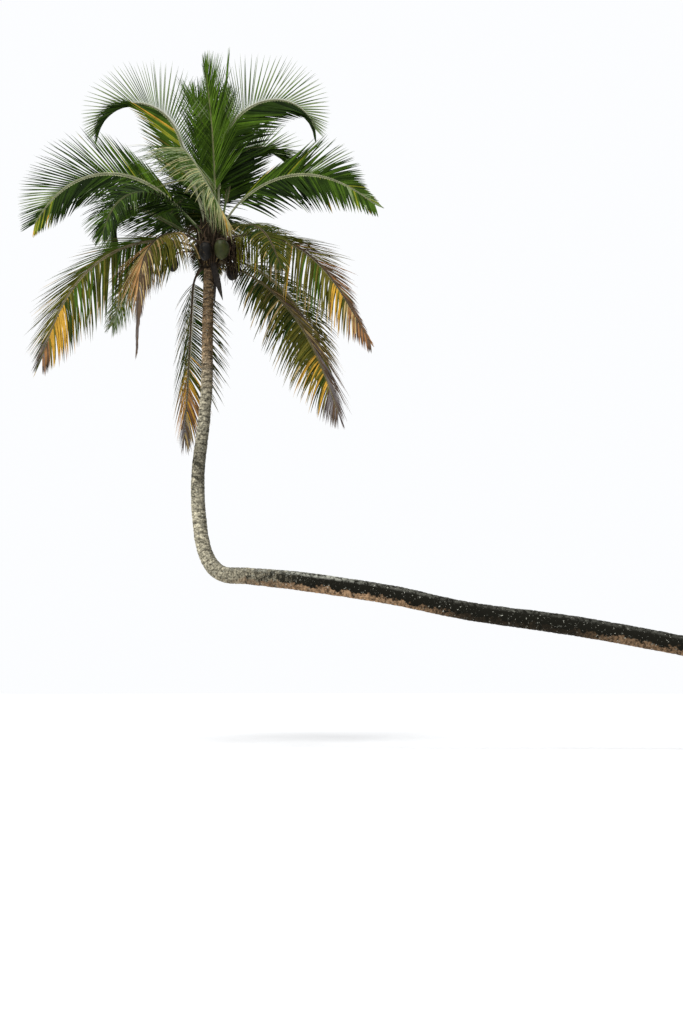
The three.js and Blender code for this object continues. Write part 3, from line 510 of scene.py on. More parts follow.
class PalmStageSettings(bpy.types.PropertyGroup):
    floor: colour("Floor", "Colour of the floor", (0.80, 0.80, 0.80))
    sky_strength: bpy.props.FloatProperty(
        name="Sky strength", description="Brightness of the light from all round", default=1.0, min=0)
    key_strength: bpy.props.FloatProperty(
        name="Key strength", description="Brightness of the light from above", default=2.0, min=0)


def settings(name):
    """The scene's property group of that name."""
    return getattr(bpy.context.scene, name)


# Growth rule


def trunk_line(stations):
    """Points along the trunk's middle line, and its width, at numbers of stations."""
    padded = np.vstack([2 * TRUNK[0] - TRUNK[1], TRUNK, 2 * TRUNK[-1] - TRUNK[-2]])[:, :3]
    k = np.clip(np.floor(stations).astype(int), 0, LAST_STATION - 1)
    t = (stations - k)[:, None]
    before, start, end, after = (padded[k + i] for i in range(4))
    leave, arrive = (end - before) / 2, (after - start) / 2
    gap = end - start
    points = start + leave * t + (3 * gap - 2 * leave - arrive) * t**2 + (leave + arrive - 2 * gap) * t**3
    return points, np.interp(stations, range(len(TRUNK)), TRUNK[:, 3])


def trunk_axes(stations):
    """The trunk's direction at stations, the ways across it and to the far side, and its flare."""
    step = 0.002
    ahead, _ = trunk_line(np.clip(stations + step, 0, LAST_STATION))
    behind, _ = trunk_line(np.clip(stations - step, 0, LAST_STATION))
    flare = np.clip(1 - stations / FLARE_REACH, 0, 1)
    level = np.maximum(flare, stations - LAST_STATION + 1)[:, None]
    direction = unit(unit(ahead - behind) * (1 - level) + UP * level)
    across = unit(np.cross(AWAY, direction))
    return direction, across, np.cross(direction, across), flare


def frond_axes(plan, share):
    """The frond's axes at shares of its length: along the rib, across the blade, and square to the blade."""
    begin, end = plan["bend"]
    turn = smooth(np.clip((share - begin) / (end - begin), 0, 1))
    slope = np.radians(plan["rise"] + (plan["droop"] - plan["rise"]) * turn)
    heading = np.radians(plan["bearing"] + plan["swing"] * share)
    along = np.stack([np.cos(slope) * np.cos(heading), np.cos(slope) * np.sin(heading), np.sin(slope)], -1)
    level = np.stack([np.sin(heading), -np.cos(heading), 0 * heading], -1)
    above = np.cross(level, along)
    roll = math.radians(plan["roll"])
    across = level * math.cos(roll) + above * math.sin(roll)
    face = above * math.cos(roll) - level * math.sin(roll)
    return along, across, face


def rib_line(plan):
    """Points along a frond's rib, from its seat on the heart."""
    side = math.radians(plan["bearing"] if plan["side"] is None else plan["side"])
    out = np.array([math.cos(side), math.sin(side), 0])
    seat = SEAT_LOW + (SEAT_HIGH - SEAT_LOW) * plan["seat"] + out * SEAT_REACH
    along, _, _ = frond_axes(plan, (np.arange(RIB_SAMPLES) + 0.5) / RIB_SAMPLES)
    return np.vstack([seat, seat + np.cumsum(along * plan["length"] / RIB_SAMPLES, axis=0)])


def point_at(line, share):
    """Places at shares of a rib's line."""
    at = np.clip(share, 0, 1) * RIB_SAMPLES
    return np.stack([np.interp(at, range(RIB_SAMPLES + 1), line[:, axis]) for axis in range(3)], -1)


def rib_size(sizes, share):
    """A rib's width or depth at shares of its length, from its seat over its neck to its tip."""
    seat, neck, tip = sizes
    near = seat + (neck - seat) * smooth(np.clip(share / NECK_AT, 0, 1))
    far = neck + (tip - neck) * (share - NECK_AT) / (1 - NECK_AT)
    return np.where(share < NECK_AT, near, far)


# Meshes from arrays


def mesh_object(name, points, faces, finishes, face_finish):
    """One object from points, faces that hold point numbers, finish names and a finish for each face."""
    mesh = bpy.data.meshes.new(name)
    loops = np.concatenate([face.ravel() for face in faces])
    counts = np.concatenate([np.full(len(face), face.shape[1]) for face in faces])
    mesh.vertices.add(len(points))
    mesh.vertices.foreach_set("co", points.astype(np.float32).ravel())
    mesh.loops.add(len(loops))
    mesh.loops.foreach_set("vertex_index", loops.astype(np.int32))
    mesh.polygons.add(len(counts))
    starts = np.concatenate([[0], np.cumsum(counts)[:-1]])
    mesh.polygons.foreach_set("loop_start", starts.astype(np.int32))
    mesh.polygons.foreach_set("material_index", face_finish.astype(np.int32))
    mesh.update(calc_edges=True)
    mesh.validate()
    for finish in finishes:
        mesh.materials.append(material(finish))
    thing = bpy.data.objects.new(name, mesh)
    bpy.context.scene.collection.objects.link(thing)
    return thing


def tube_faces(tubes, rings, sides):
    """Walls, feet and ends of closed tubes, whose points are numbered tube by tube and ring by ring."""
    first = (np.arange(tubes) * rings * sides)[:, None, None]
    ring = (np.arange(rings - 1) * sides)[None, :, None]
    i = np.arange(sides)[None, None, :]
    j = (i + 1) % sides
    low, high = first + ring, first + ring + sides
    walls = np.stack([low + i, low + j, high + j, high + i], -1).reshape(-1, 4)
    foot = (first[:, 0] + np.arange(sides)[::-1]).reshape(tubes, sides)
    end = (first[:, 0] + (rings - 1) * sides + np.arange(sides)).reshape(tubes, sides)
    return walls, foot, end


def strips(name, points, finishes, chosen, sharp):
    """One mesh of closed strips, from their rings' points and the number of each one's finish."""
    count, rings, sides = points.shape[:3]
    walls, foot, end = tube_faces(count, rings, sides)
    face_finish = np.concatenate([np.repeat(chosen, (rings - 1) * sides), chosen, chosen])
    thing = mesh_object(name, points.reshape(-1, 3), [walls, foot, end], finishes, face_finish)
    turned_out(thing, sharp)
    return thing


def select_only(thing):
    """Selects one object and makes it the active one."""
    bpy.ops.object.select_all(action="DESELECT")
    thing.select_set(True)
    bpy.context.view_layer.objects.active = thing


def turned_out(thing, sharp):
    """Turns a mesh's faces outwards, and shades it smooth except at edges sharper than an angle."""
    select_only(thing)
    bpy.ops.object.mode_set(mode="EDIT")
    bpy.ops.mesh.select_all(action="SELECT")
    bpy.ops.mesh.normals_make_consistent(inside=False)
    bpy.ops.object.mode_set(mode="OBJECT")
    bpy.ops.object.shade_smooth_by_angle(angle=math.radians(sharp))


def finish_piece(thing, nodes):
    """Lets a piece stand for nodes of the solids: puts it on their body and hides those nodes."""
    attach(thing, BODY)
    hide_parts(*nodes)


def frond_groups():
    """Each group's name, slot and plans, and the nodes that its pieces stand for."""
    for group, slot in FROND_GROUPS.items():
        plans = [plan for plan in FRONDS if plan["group"] == group]
        yield group, slot, plans, [node for plan in plans for node in frond_nodes(plan)]


def frond_nodes(plan):
    """A frond's nodes, two where its rib arches so far that its solid is split at the bend."""
    name = f"frond_{plan['name']}"
    return [f"{name}_inner", f"{name}_outer"] if plan["arched"] else [name]


# Leaflets


def leaflet_field(plan, count, chooser):
    """Roots, ways, lengths and widths of a frond's leaflets, and how far each hangs."""
    number = np.tile(np.arange(count), 2)
    side = np.repeat([1.0, -1.0], count)
    blade = (number + 0.5) / count
    share = plan["first"] + (1 - plan["first"]) * blade
    along, across, face = frond_axes(plan, share)
    drift = chooser.uniform(-0.5, 0.5, len(number))
    openings = [np.interp(blade, OPEN_AT, stops) for stops in plan["open"]]
    opening = np.where(side > 0, *openings)
    opening = np.radians(opening + chooser.normal(0, OPEN_SCATTER * plan["uneven"], len(number)))
    lift = np.where(side > 0, *plan["lift"])
    lift = np.radians(lift + np.where(number % 2, STAGGER, -STAGGER) + drift * STAGGER)
    out = across * (side * np.cos(lift))[:, None] + face * np.sin(lift)[:, None]
    heading = along * np.cos(opening)[:, None] + out * np.sin(opening)[:, None]
    lengths = [np.interp(blade, LENGTHS_AT, shares) for shares in plan["lengths"]]
    length = plan["leaflet"] * np.where(side > 0, *lengths) * (1 + LENGTH_DRIFT * plan["uneven"] * drift)
    half = rib_size(RIB_WIDTH, share) * RIB_SLIM * LEAFLET_ROOT
    root = point_at(rib_line(plan), share) + across * (side * half)[:, None]
    return {"root": root, "heading": heading, "along": along, "face": face, "length": length,
            "blade": blade, "side": side, "hang": np.where(side > 0, *plan["hang"]),
            "wide": np.where(side > 0, *plan["wide"])}


def leaflet_finishes(plan, blade, side, chooser):
    """A finish for each leaflet's body and one for its tip, by the frond's tints."""
    body = np.zeros(len(blade), int)
    tip = np.zeros(len(blade), int)
    for k, share in enumerate(blade):
        bands = TINTS[plan["tint"][0 if side[k] > 0 else 1]]
        wander = share + chooser.normal(0, TINT_WANDER)
        weights = next((mix for upto, mix in bands if wander <= upto), bands[-1][1])
        names = list(weights)
        chances = np.array([weights[name] for name in names], float)
        picked = names[chooser.choice(len(names), p=chances / chances.sum())]
        change, likely = TIP_CHANGES.get(picked, (picked, 0))
        ended = change if chooser.random() < likely else picked
        body[k] = LEAF_FINISHES.index(picked)
        tip[k] = LEAF_FINISHES.index(ended)
    return body, tip


def grow_leaflets(plan, count, width, fold, chooser):
    """Points of every leaflet, ring by ring with four corners, and a finish for each stretch."""
    field = leaflet_field(plan, count, chooser)
    leaflets = len(field["length"])
    hang = field["hang"] * chooser.normal(1, HANG_SCATTER * plan["uneven"], leaflets)
    point = field["root"].copy()
    leading = field["along"].copy()
    rings = []
    for k, stop in enumerate(LEAFLET_STOPS):
        before = LEAFLET_STOPS[max(k - 1, 0)]
        fall = hang * ((stop + before) / 2) ** FALL_CURVE
        direction = unit(field["heading"] - UP * fall[:, None])
        point = point + direction * (field["length"] * (stop - before))[:, None]
        leading = unit(leading - direction * (leading * direction).sum(-1, keepdims=True))
        ridge = np.cross(leading, direction)
        ridge = ridge * np.where((ridge * field["face"]).sum(-1) < 0, -1, 1)[:, None]
        half = width * field["wide"][:, None] * LEAFLET_WIDTHS[k] / 2
        drop = half * math.sin(fold)
        reach = half * math.cos(fold) * leading
        thick = LEAFLET_TIP_THICKNESS + LEAFLET_FOOT_THICKER * (1 - stop)
        rings.append(np.stack([
            point,
            point + reach - ridge * drop,
            point - ridge * thick,
            point - reach - ridge * drop,
        ], 1))
    points = faced_out(np.stack(rings, 1))
    body, tip = leaflet_finishes(plan, field["blade"], field["side"], chooser)
    stretches = len(LEAFLET_STOPS) - 1
    finish = np.repeat(body[:, None], stretches, 1)
    turned = np.where(chooser.random(leaflets) < 0.5, *TIP_STRETCHES)
    late = np.arange(stretches)[None, :] >= stretches - turned[:, None]
    finish = np.where(late, tip[:, None], finish)
    finish[:, 0] = LEAF_FINISHES.index("pale_foot" if plan["rib"] == "rib_pale" else "dull_foot")
    return points, finish


def faced_out(points):
    """Leaflets whose corners all go round the same way, so that every face points outwards."""
    corner, ahead = points[:, 1], points[:, 2, 0]
    backwards = np.cross(corner[:, 1] - corner[:, 0], corner[:, 3] - corner[:, 0])
    turned = (backwards * (ahead - corner[:, 0])).sum(-1) > 0
    points[turned] = points[turned][:, :, [0, 3, 2, 1]]
    return points


# Finishes


# Numbers of a colour mix's sockets
MIX_AMOUNT, MIX_LOW, MIX_HIGH, MIX_RESULT = 0, 6, 7, 2


class Finish:
    """A material under construction, with short calls for its nodes."""

    def __init__(self, name, roughness, specular=0.5):
        self.material = bpy.data.materials.new(name)
        self.material.use_nodes = True
        self.nodes = self.material.node_tree.nodes
        self.links = self.material.node_tree.links
        self.shader = self.nodes["Principled BSDF"]
        self.shader.inputs["Roughness"].default_value = roughness
        self.shader.inputs["Specular IOR Level"].default_value = specular
        self.coordinates = self.nodes.new("ShaderNodeTexCoord")

    def node(self, kind, values=None, **links):
        """Adds a node with its settings and values, and with links into its sockets."""
        made = self.nodes.new(kind)
        for key, value in (values or {}).items():
            if key in made.inputs:
                made.inputs[key].default_value = value
            else:
                setattr(made, key, value)
        for key, socket in links.items():
            self.links.new(socket, made.inputs[key.replace("_", " ")])
        return made

    def mapped(self, scale, source="Object"):
        """Coordinates stretched by a scale for each way."""
        mapping = self.node("ShaderNodeMapping", {"Scale": scale})
        self.links.new(self.coordinates.outputs[source], mapping.inputs["Vector"])
        return mapping.outputs["Vector"]

    def noise(self, scale, detail=4, rough=0.55, vector=None):
        """Cloudy values between 0 and 1."""
        vector = vector or self.coordinates.outputs["Object"]
        made = self.node("ShaderNodeTexNoise", {"Scale": scale, "Detail": detail, "Roughness": rough},
                         Vector=vector)
        return made.outputs["Fac"]

    def ramp(self, socket, stops):
        """Colours, or values from dark to light, for the places between stops."""
        made = self.node("ShaderNodeValToRGB", Fac=socket)
        band = made.color_ramp
        while len(band.elements) < len(stops):
            band.elements.new(0.5)
        for element, (place, value) in zip(band.elements, stops):
            element.position = place
            shade = (value,) * 3 if isinstance(value, (int, float)) else tuple(value)
            element.color = (*shade, 1)
        return made.outputs["Color"]

    def blend(self, amount, low, high, kind="MIX"):
        """Two colours put together by an amount."""
        made = self.node("ShaderNodeMix", {"data_type": "RGBA", "blend_type": kind, "clamp_factor": True})
        for index, value in ((MIX_AMOUNT, amount), (MIX_LOW, low), (MIX_HIGH, high)):
            if isinstance(value, bpy.types.NodeSocket):
                self.links.new(value, made.inputs[index])
            elif index == MIX_AMOUNT:
                made.inputs[index].default_value = value
            else:
                made.inputs[index].default_value = (*value, 1)
        return made.outputs[MIX_RESULT]

    def maths(self, operation, first, second=0.0, third=None):
        """A sum or the like, of values, sockets or both."""
        made = self.node("ShaderNodeMath", {"operation": operation})
        for index, value in enumerate((first, second, third)):
            if value is None:
                continue
            if isinstance(value, bpy.types.NodeSocket):
                self.links.new(value, made.inputs[index])
            else:
                made.inputs[index].default_value = value
        return made.outputs[0]

    def paint(self, socket):
        """Colours the surface."""
        self.links.new(socket, self.shader.inputs["Base Color"])

    def raise_by(self, height, strength, distance):
        """Roughens the surface by a height."""
        bump = self.node("ShaderNodeBump", {"Strength": strength, "Distance": distance}, Height=height)
        self.links.new(bump.outputs["Normal"], self.shader.inputs["Normal"])


def scaled(value, factor):
    """A colour made lighter or darker."""
    return tuple(min(1.0, channel * factor) for channel in value)


def leaf_finish(name):
    """A leaflet's finish: its colour in soft patches and fine streaks, glossier while it is green."""
    tone = getattr(settings("palm_leaves"), name)
    dry = name in DRY_FINISHES
    finish = Finish(name, roughness=0.8 if dry else 0.6, specular=0.03 if dry else 0.06)
    patches = finish.ramp(finish.noise(5, 3), [(0.32, scaled(tone, 0.72)), (0.68, scaled(tone, 1.3))])
    streaks = finish.ramp(finish.noise(90, 2), [(0.35, 0.75), (0.65, 1.0)])
    finish.paint(finish.blend(0.5, patches, streaks, "MULTIPLY"))
    finish.raise_by(finish.noise(260, 2), 0.25, 0.002)
    return finish.material


def rib_finish(name):
    """A rib's finish: woody, with fine grain and dark specks."""
    tone = getattr(settings("palm_leaves"), name)
    finish = Finish(name, roughness=0.65, specular=0.1)
    patches = finish.ramp(finish.noise(7, 4), [(0.3, scaled(tone, 0.65)), (0.7, scaled(tone, 1.2))])
    specks = finish.ramp(finish.noise(70, 3), [(0.36, 0.4), (0.5, 1.0)])
    finish.paint(finish.blend(0.6, patches, specks, "MULTIPLY"))
    finish.raise_by(finish.noise(120, 3), 0.4, 0.004)
    return finish.material


def fibre_finish(name):
    """Matted fibre: dark, with strands that run up and down."""
    tone = settings("palm_heart").fibre
    finish = Finish(name, roughness=0.95, specular=0.05)
    strands = finish.noise(14, 6, 0.65, finish.mapped((9, 9, 1.2)))
    finish.paint(finish.ramp(strands, [(0.3, scaled(tone, 0.25)), (0.5, tone), (0.72, scaled(tone, 3.2))]))
    finish.raise_by(strands, 0.8, 0.015)
    return finish.material


def husk_finish(name):
    """A nut's smooth husk: soft patches, with dry brown scars."""
    look = settings("palm_heart")
    # The old husk colour is partly aged husk and partly painted shade.
    tone = look.old_husk if name == "old_husk" else look.husk
    finish = Finish(name, roughness=0.5, specular=0.2)
    patches = finish.ramp(finish.noise(9, 4), [(0.3, scaled(tone, 0.55)), (0.7, scaled(tone, 1.35))])
    rust = finish.ramp(finish.noise(22, 5, 0.7), [(0.56, 0.0), (0.7, 1.0)])
    finish.paint(finish.blend(rust, patches, (0.075, 0.050, 0.025)))
    finish.raise_by(finish.noise(60, 3), 0.25, 0.004)
    return finish.material


def sheath_finish(name):
    """An old sheath's finish: nearly black, with grain along it."""
    tone = settings("palm_heart").sheath
    finish = Finish(name, roughness=0.7, specular=0.15)
    grain = finish.noise(16, 5, 0.6, finish.mapped((6, 6, 0.8)))
    finish.paint(finish.ramp(grain, [(0.3, scaled(tone, 0.4)), (0.55, tone), (0.75, scaled(tone, 3))]))
    finish.raise_by(grain, 0.6, 0.006)
    return finish.material


def bark_finish(name):
    """Bark whose growth and colour change along the trunk and round it, over ring scars."""
    look = settings("palm_trunk")
    finish = Finish(name, roughness=0.9, specular=0.06)
    around_along = finish.node("ShaderNodeSeparateXYZ", Vector=finish.coordinates.outputs["UV"])
    around, along = around_along.outputs["X"], around_along.outputs["Y"]
    wander = finish.noise(1.1, 3)
    share = finish.maths("MULTIPLY_ADD", wander, 0.04, along)
    share = finish.maths("SUBTRACT", share, 0.02)
    upright = finish.ramp(along, [(0.66, 0.0), (0.72, 1.0)])
    flecks = finish.blend(upright, finish.noise(1, 5, 0.7, finish.mapped((22, 9, 9))),
                          finish.noise(1, 5, 0.7, finish.mapped((9, 9, 24))))
    tone = bark_tone(finish, look, share, around, upright, flecks)
    tone = bark_growth(finish, look, share, around, flecks, tone)
    finish.paint(tone)
    finish.raise_by(finish.noise(45, 7, 0.7), 0.7, 0.012)
    return finish.material


def bark_tone(finish, look, share, around, upright, flecks):
    """The bark's colour along the trunk, flecked, ringed by scars, and with painted shade darkening the
    upright trunk's right side.
    """
    tone = finish.ramp(share, [
        (0.0, (0.022, 0.020, 0.014)), (0.42, (0.022, 0.020, 0.014)), (0.52, (0.085, 0.075, 0.050)),
        (0.62, (0.190, 0.170, 0.120)), (0.70, scaled(look.grey, 0.75)), (0.76, scaled(look.grey, 0.92)),
        (0.80, scaled(look.grey, 0.78)), (0.87, scaled(look.grey, 0.8)), (0.92, look.rose),
        (1.0, scaled(look.rose, 0.62)),
    ])
    contrast = finish.ramp(flecks, [(0.34, 0.08), (0.44, 0.55), (0.54, 1.15), (0.66, 1.9)])
    tone = finish.blend(0.92, tone, contrast, "MULTIPLY")
    grit = finish.ramp(finish.noise(34, 3, 0.7), [(0.36, 0.15), (0.46, 0.8), (0.54, 1.15), (0.66, 1.6)])
    tone = finish.blend(0.9, tone, grit, "MULTIPLY")
    scar = finish.node("ShaderNodeAttribute", {"attribute_name": "scar"}).outputs["Fac"]
    worn = finish.ramp(finish.noise(13, 4, 0.65), [(0.36, 0.25), (0.6, 1.0)])
    deep = finish.ramp(share, [(0.0, 0.1), (0.5, 0.3), (0.62, 0.8), (1.0, 0.95)])
    scar = finish.maths("MULTIPLY", scar, finish.maths("MULTIPLY", worn, deep))
    tone = finish.blend(scar, tone, (0.045, 0.034, 0.024))
    # Painted shade: round the upright trunk, the right side is darkened and the left side lightened.
    sides = finish.ramp(around, [(0.0, 0.36), (0.10, 0.42), (0.3, 0.9), (0.5, 1.15), (0.66, 1.1),
                                 (0.78, 0.85), (0.90, 0.44), (1.0, 0.36)])
    return finish.blend(upright, tone, finish.blend(1.0, tone, sides, "MULTIPLY"))


def bark_growth(finish, look, share, around, flecks, tone):
    """Dark moss over the leaning run, bare bark under it, lichen in specks, and a painted highlight in the
    lichen colour along the leaning trunk's top.
    """
    amount = finish.ramp(share, [(0.0, 0.70), (0.35, 0.80), (0.50, 0.74), (0.55, 0.68), (0.61, 0.60),
                                 (0.65, 0.42), (0.72, 0.16), (0.76, 0.26), (0.80, 0.46), (0.84, 0.26),
                                 (0.89, 0.15), (1.0, 0.1)])
    blotches = finish.maths("MULTIPLY", finish.noise(12, 7, 0.7), 0.5)
    growth = finish.maths("MULTIPLY_ADD", flecks, 0.5, blotches)
    reach = finish.maths("MULTIPLY_ADD", amount, 0.5, growth)
    dark = finish.ramp(reach, [(0.68, 0.0), (0.75, 1.0)])
    moss = finish.ramp(share, [(0.60, look.dark), (0.72, scaled(look.dark, 4.5))])
    tone = finish.blend(dark, tone, moss)
    under = finish.maths("ABSOLUTE", finish.maths("SUBTRACT", around, 0.5))
    edge = finish.maths("MULTIPLY_ADD", finish.noise(9, 5, 0.65), 0.34, under)
    edge = finish.maths("MULTIPLY_ADD", flecks, 0.16, edge)
    bare = finish.ramp(edge, [(0.405, 1.0), (0.435, 0.0)])
    held = finish.ramp(share, [(0.0, 0.4), (0.24, 0.9), (0.31, 0.9), (0.35, 0.05), (0.455, 0.05),
                               (0.51, 0.85), (0.60, 0.95), (0.65, 0.5), (0.70, 0.0)])
    tan = finish.ramp(flecks, [(0.36, scaled(look.tan, 0.1)), (0.46, scaled(look.tan, 0.6)),
                               (0.55, scaled(look.tan, 0.95)), (0.7, scaled(look.tan, 1.4))])
    torn = finish.ramp(finish.noise(26, 4, 0.7), [(0.38, 0.25), (0.5, 1.0), (0.65, 1.3)])
    tan = finish.blend(0.85, tan, torn, "MULTIPLY")
    pale = finish.ramp(share, [(0.3, 0.65), (0.52, 1.0)])
    tone = finish.blend(finish.maths("MULTIPLY", bare, held), tone, finish.blend(1.0, tan, pale, "MULTIPLY"))
    spots = finish.ramp(finish.noise(24, 4, 0.75), [(0.62, 0.0), (0.67, 1.0)])
    # Painted highlight: the top of the leaning trunk is paled in the lichen colour, as if lit from above.
    crest_highlight = finish.ramp(around, [(0.0, 1.0), (0.13, 0.9), (0.18, 0.0), (0.82, 0.0), (0.87, 0.9), (1.0, 1.0)])
    patches = finish.ramp(finish.noise(14, 5, 0.7), [(0.42, 0.0), (0.58, 1.0)])
    leaning = finish.ramp(share, [(0.0, 0.10), (0.45, 0.15), (0.55, 0.30), (0.58, 1.0), (0.62, 1.0),
                                  (0.66, 0.4), (0.72, 0.0)])
    crest_highlight = finish.maths("MULTIPLY", finish.maths("MULTIPLY", crest_highlight, patches), leaning)
    lichen_and_highlight = finish.maths("MULTIPLY", finish.maths("MAXIMUM", spots, crest_highlight), 0.8)
    return finish.blend(lichen_and_highlight, tone, look.lichen_and_highlight)


FINISH_MAKERS = {
    **dict.fromkeys(LEAF_FINISHES, leaf_finish), **dict.fromkeys(RIB_FINISHES, rib_finish),
    "green_husk": husk_finish, "old_husk": husk_finish, "matted_fibre": fibre_finish,
    "blackened_sheath": sheath_finish, "scarred_bark": bark_finish,
}


def material(name):
    """The finish of that name, which is made when a piece first asks for it."""
    return bpy.data.materials.get(name) or FINISH_MAKERS[name](name)


def coat(thing, name):
    """Gives a piece one finish all over."""
    thing.data.materials.clear()
    thing.data.materials.append(material(name))


# Modelling in edit mode


def angles(sides):
    """Angles of a ring's corners, in radians."""
    return np.arange(sides) * 2 * math.pi / sides


def ring_points(centre, across, far, radii, sides):
    """Points of one ring, which starts from the far side and goes round the direction of growth."""
    angle = angles(sides)
    radii = np.broadcast_to(radii, (sides,))
    return centre + far * (np.cos(angle) * radii)[:, None] - across * (np.sin(angle) * radii)[:, None]


def place_ring(thing, points, settled):
    """Moves the selected ring of the mesh in edit mode from where it has settled to its points."""
    shape = bmesh.from_edit_mesh(thing.data)
    ring = [vertex for vertex in shape.verts if vertex.select]
    places = np.array([vertex.co for vertex in ring])
    nearest = np.linalg.norm(places[:, None] - settled[None], axis=-1).argmin(1)
    for vertex, number in zip(ring, nearest):
        vertex.co = points[number]
    bmesh.update_edit_mesh(thing.data)


def extruded(name, rings):
    """A closed body, extruded ring by ring from a filled circle."""
    bpy.ops.object.select_all(action="DESELECT")
    bpy.ops.mesh.primitive_circle_add(vertices=len(rings[0]), radius=1, fill_type="NGON")
    thing = bpy.context.object
    thing.name = thing.data.name = name
    settled = np.array([vertex.co for vertex in thing.data.vertices])
    bpy.ops.object.mode_set(mode="EDIT")
    bpy.ops.mesh.select_all(action="SELECT")
    place_ring(thing, rings[0], settled)
    for before, ring in zip(rings, rings[1:]):
        bpy.ops.mesh.extrude_region_move()
        place_ring(thing, ring, before)
    bpy.ops.mesh.select_all(action="SELECT")
    bpy.ops.mesh.normals_make_consistent(inside=False)
    bpy.ops.object.mode_set(mode="OBJECT")
    return thing


def smoothed(thing, levels):
    """Rounds a body off by subdivision."""
    select_only(thing)
    bpy.ops.object.modifier_add(type="SUBSURF")
    smoother = thing.modifiers[-1]
    smoother.levels = smoother.render_levels = levels
    bpy.ops.object.modifier_apply(modifier=smoother.name)
    bpy.ops.object.shade_smooth()


def displaced(thing, height, group="", middle=0.5, cloud_size=0, cloud_depth=3):
    """Pushes a mesh in and out by clouds, where they have a size, and by a group's weights."""
    select_only(thing)
    bpy.ops.object.modifier_add(type="DISPLACE")
    relief = thing.modifiers[-1]
    relief.strength = height
    relief.mid_level = middle
    relief.vertex_group = group
    if cloud_size:
        clouds = bpy.data.textures.new(f"{thing.name}_clouds", "CLOUDS")
        clouds.noise_scale = cloud_size
        clouds.noise_depth = cloud_depth
        relief.texture = clouds
        relief.texture_coords = "LOCAL"
    bpy.ops.object.modifier_apply(modifier=relief.name)


# Trunk


def scar_weights(along, around, gap):
    """How much of a ring scar lies at each place, on rings that waver as they go round."""
    turn = around * 2 * math.pi
    waver = SCAR_WAVERS[0] * np.sin(along * WAVER_TURNS[0]) * np.cos(turn)
    waver = waver + SCAR_WAVERS[1] * np.sin(along * WAVER_TURNS[1] + 2 * turn)
    drift = GAP_DRIFTS[0] * np.sin(along * DRIFT_TURNS[0])
    drift = drift + GAP_DRIFTS[1] * np.sin(along * DRIFT_TURNS[1] + 1)
    phase = (along + waver) / gap + drift
    nearness = 1 - np.abs(phase - np.round(phase)) * gap / SCAR_HALF_WIDTH
    return np.clip(nearness, 0, 1)


def trunk_places(points):
    """How far along the trunk each point lies and how far round it, both as shares, and its length."""
    stations = np.linspace(0, LAST_STATION, PLACE_SAMPLES)
    line, _ = trunk_line(stations)
    gone = np.concatenate([[0], np.cumsum(np.linalg.norm(np.diff(line, axis=0), axis=1))])
    _, across, far, _ = trunk_axes(stations)
    nearest = np.concatenate([
        ((batch[:, None] - line[None]) ** 2).sum(-1).argmin(1)
        for batch in np.array_split(points, PLACE_BATCHES)])
    off = points - line[nearest]
    ahead = (off * unit(np.gradient(line, axis=0))[nearest]).sum(-1)
    angle = np.arctan2((off * far[nearest]).sum(-1), (off * across[nearest]).sum(-1))
    return (gone[nearest] + ahead) / gone[-1], (angle / (2 * math.pi)) % 1, gone[-1]


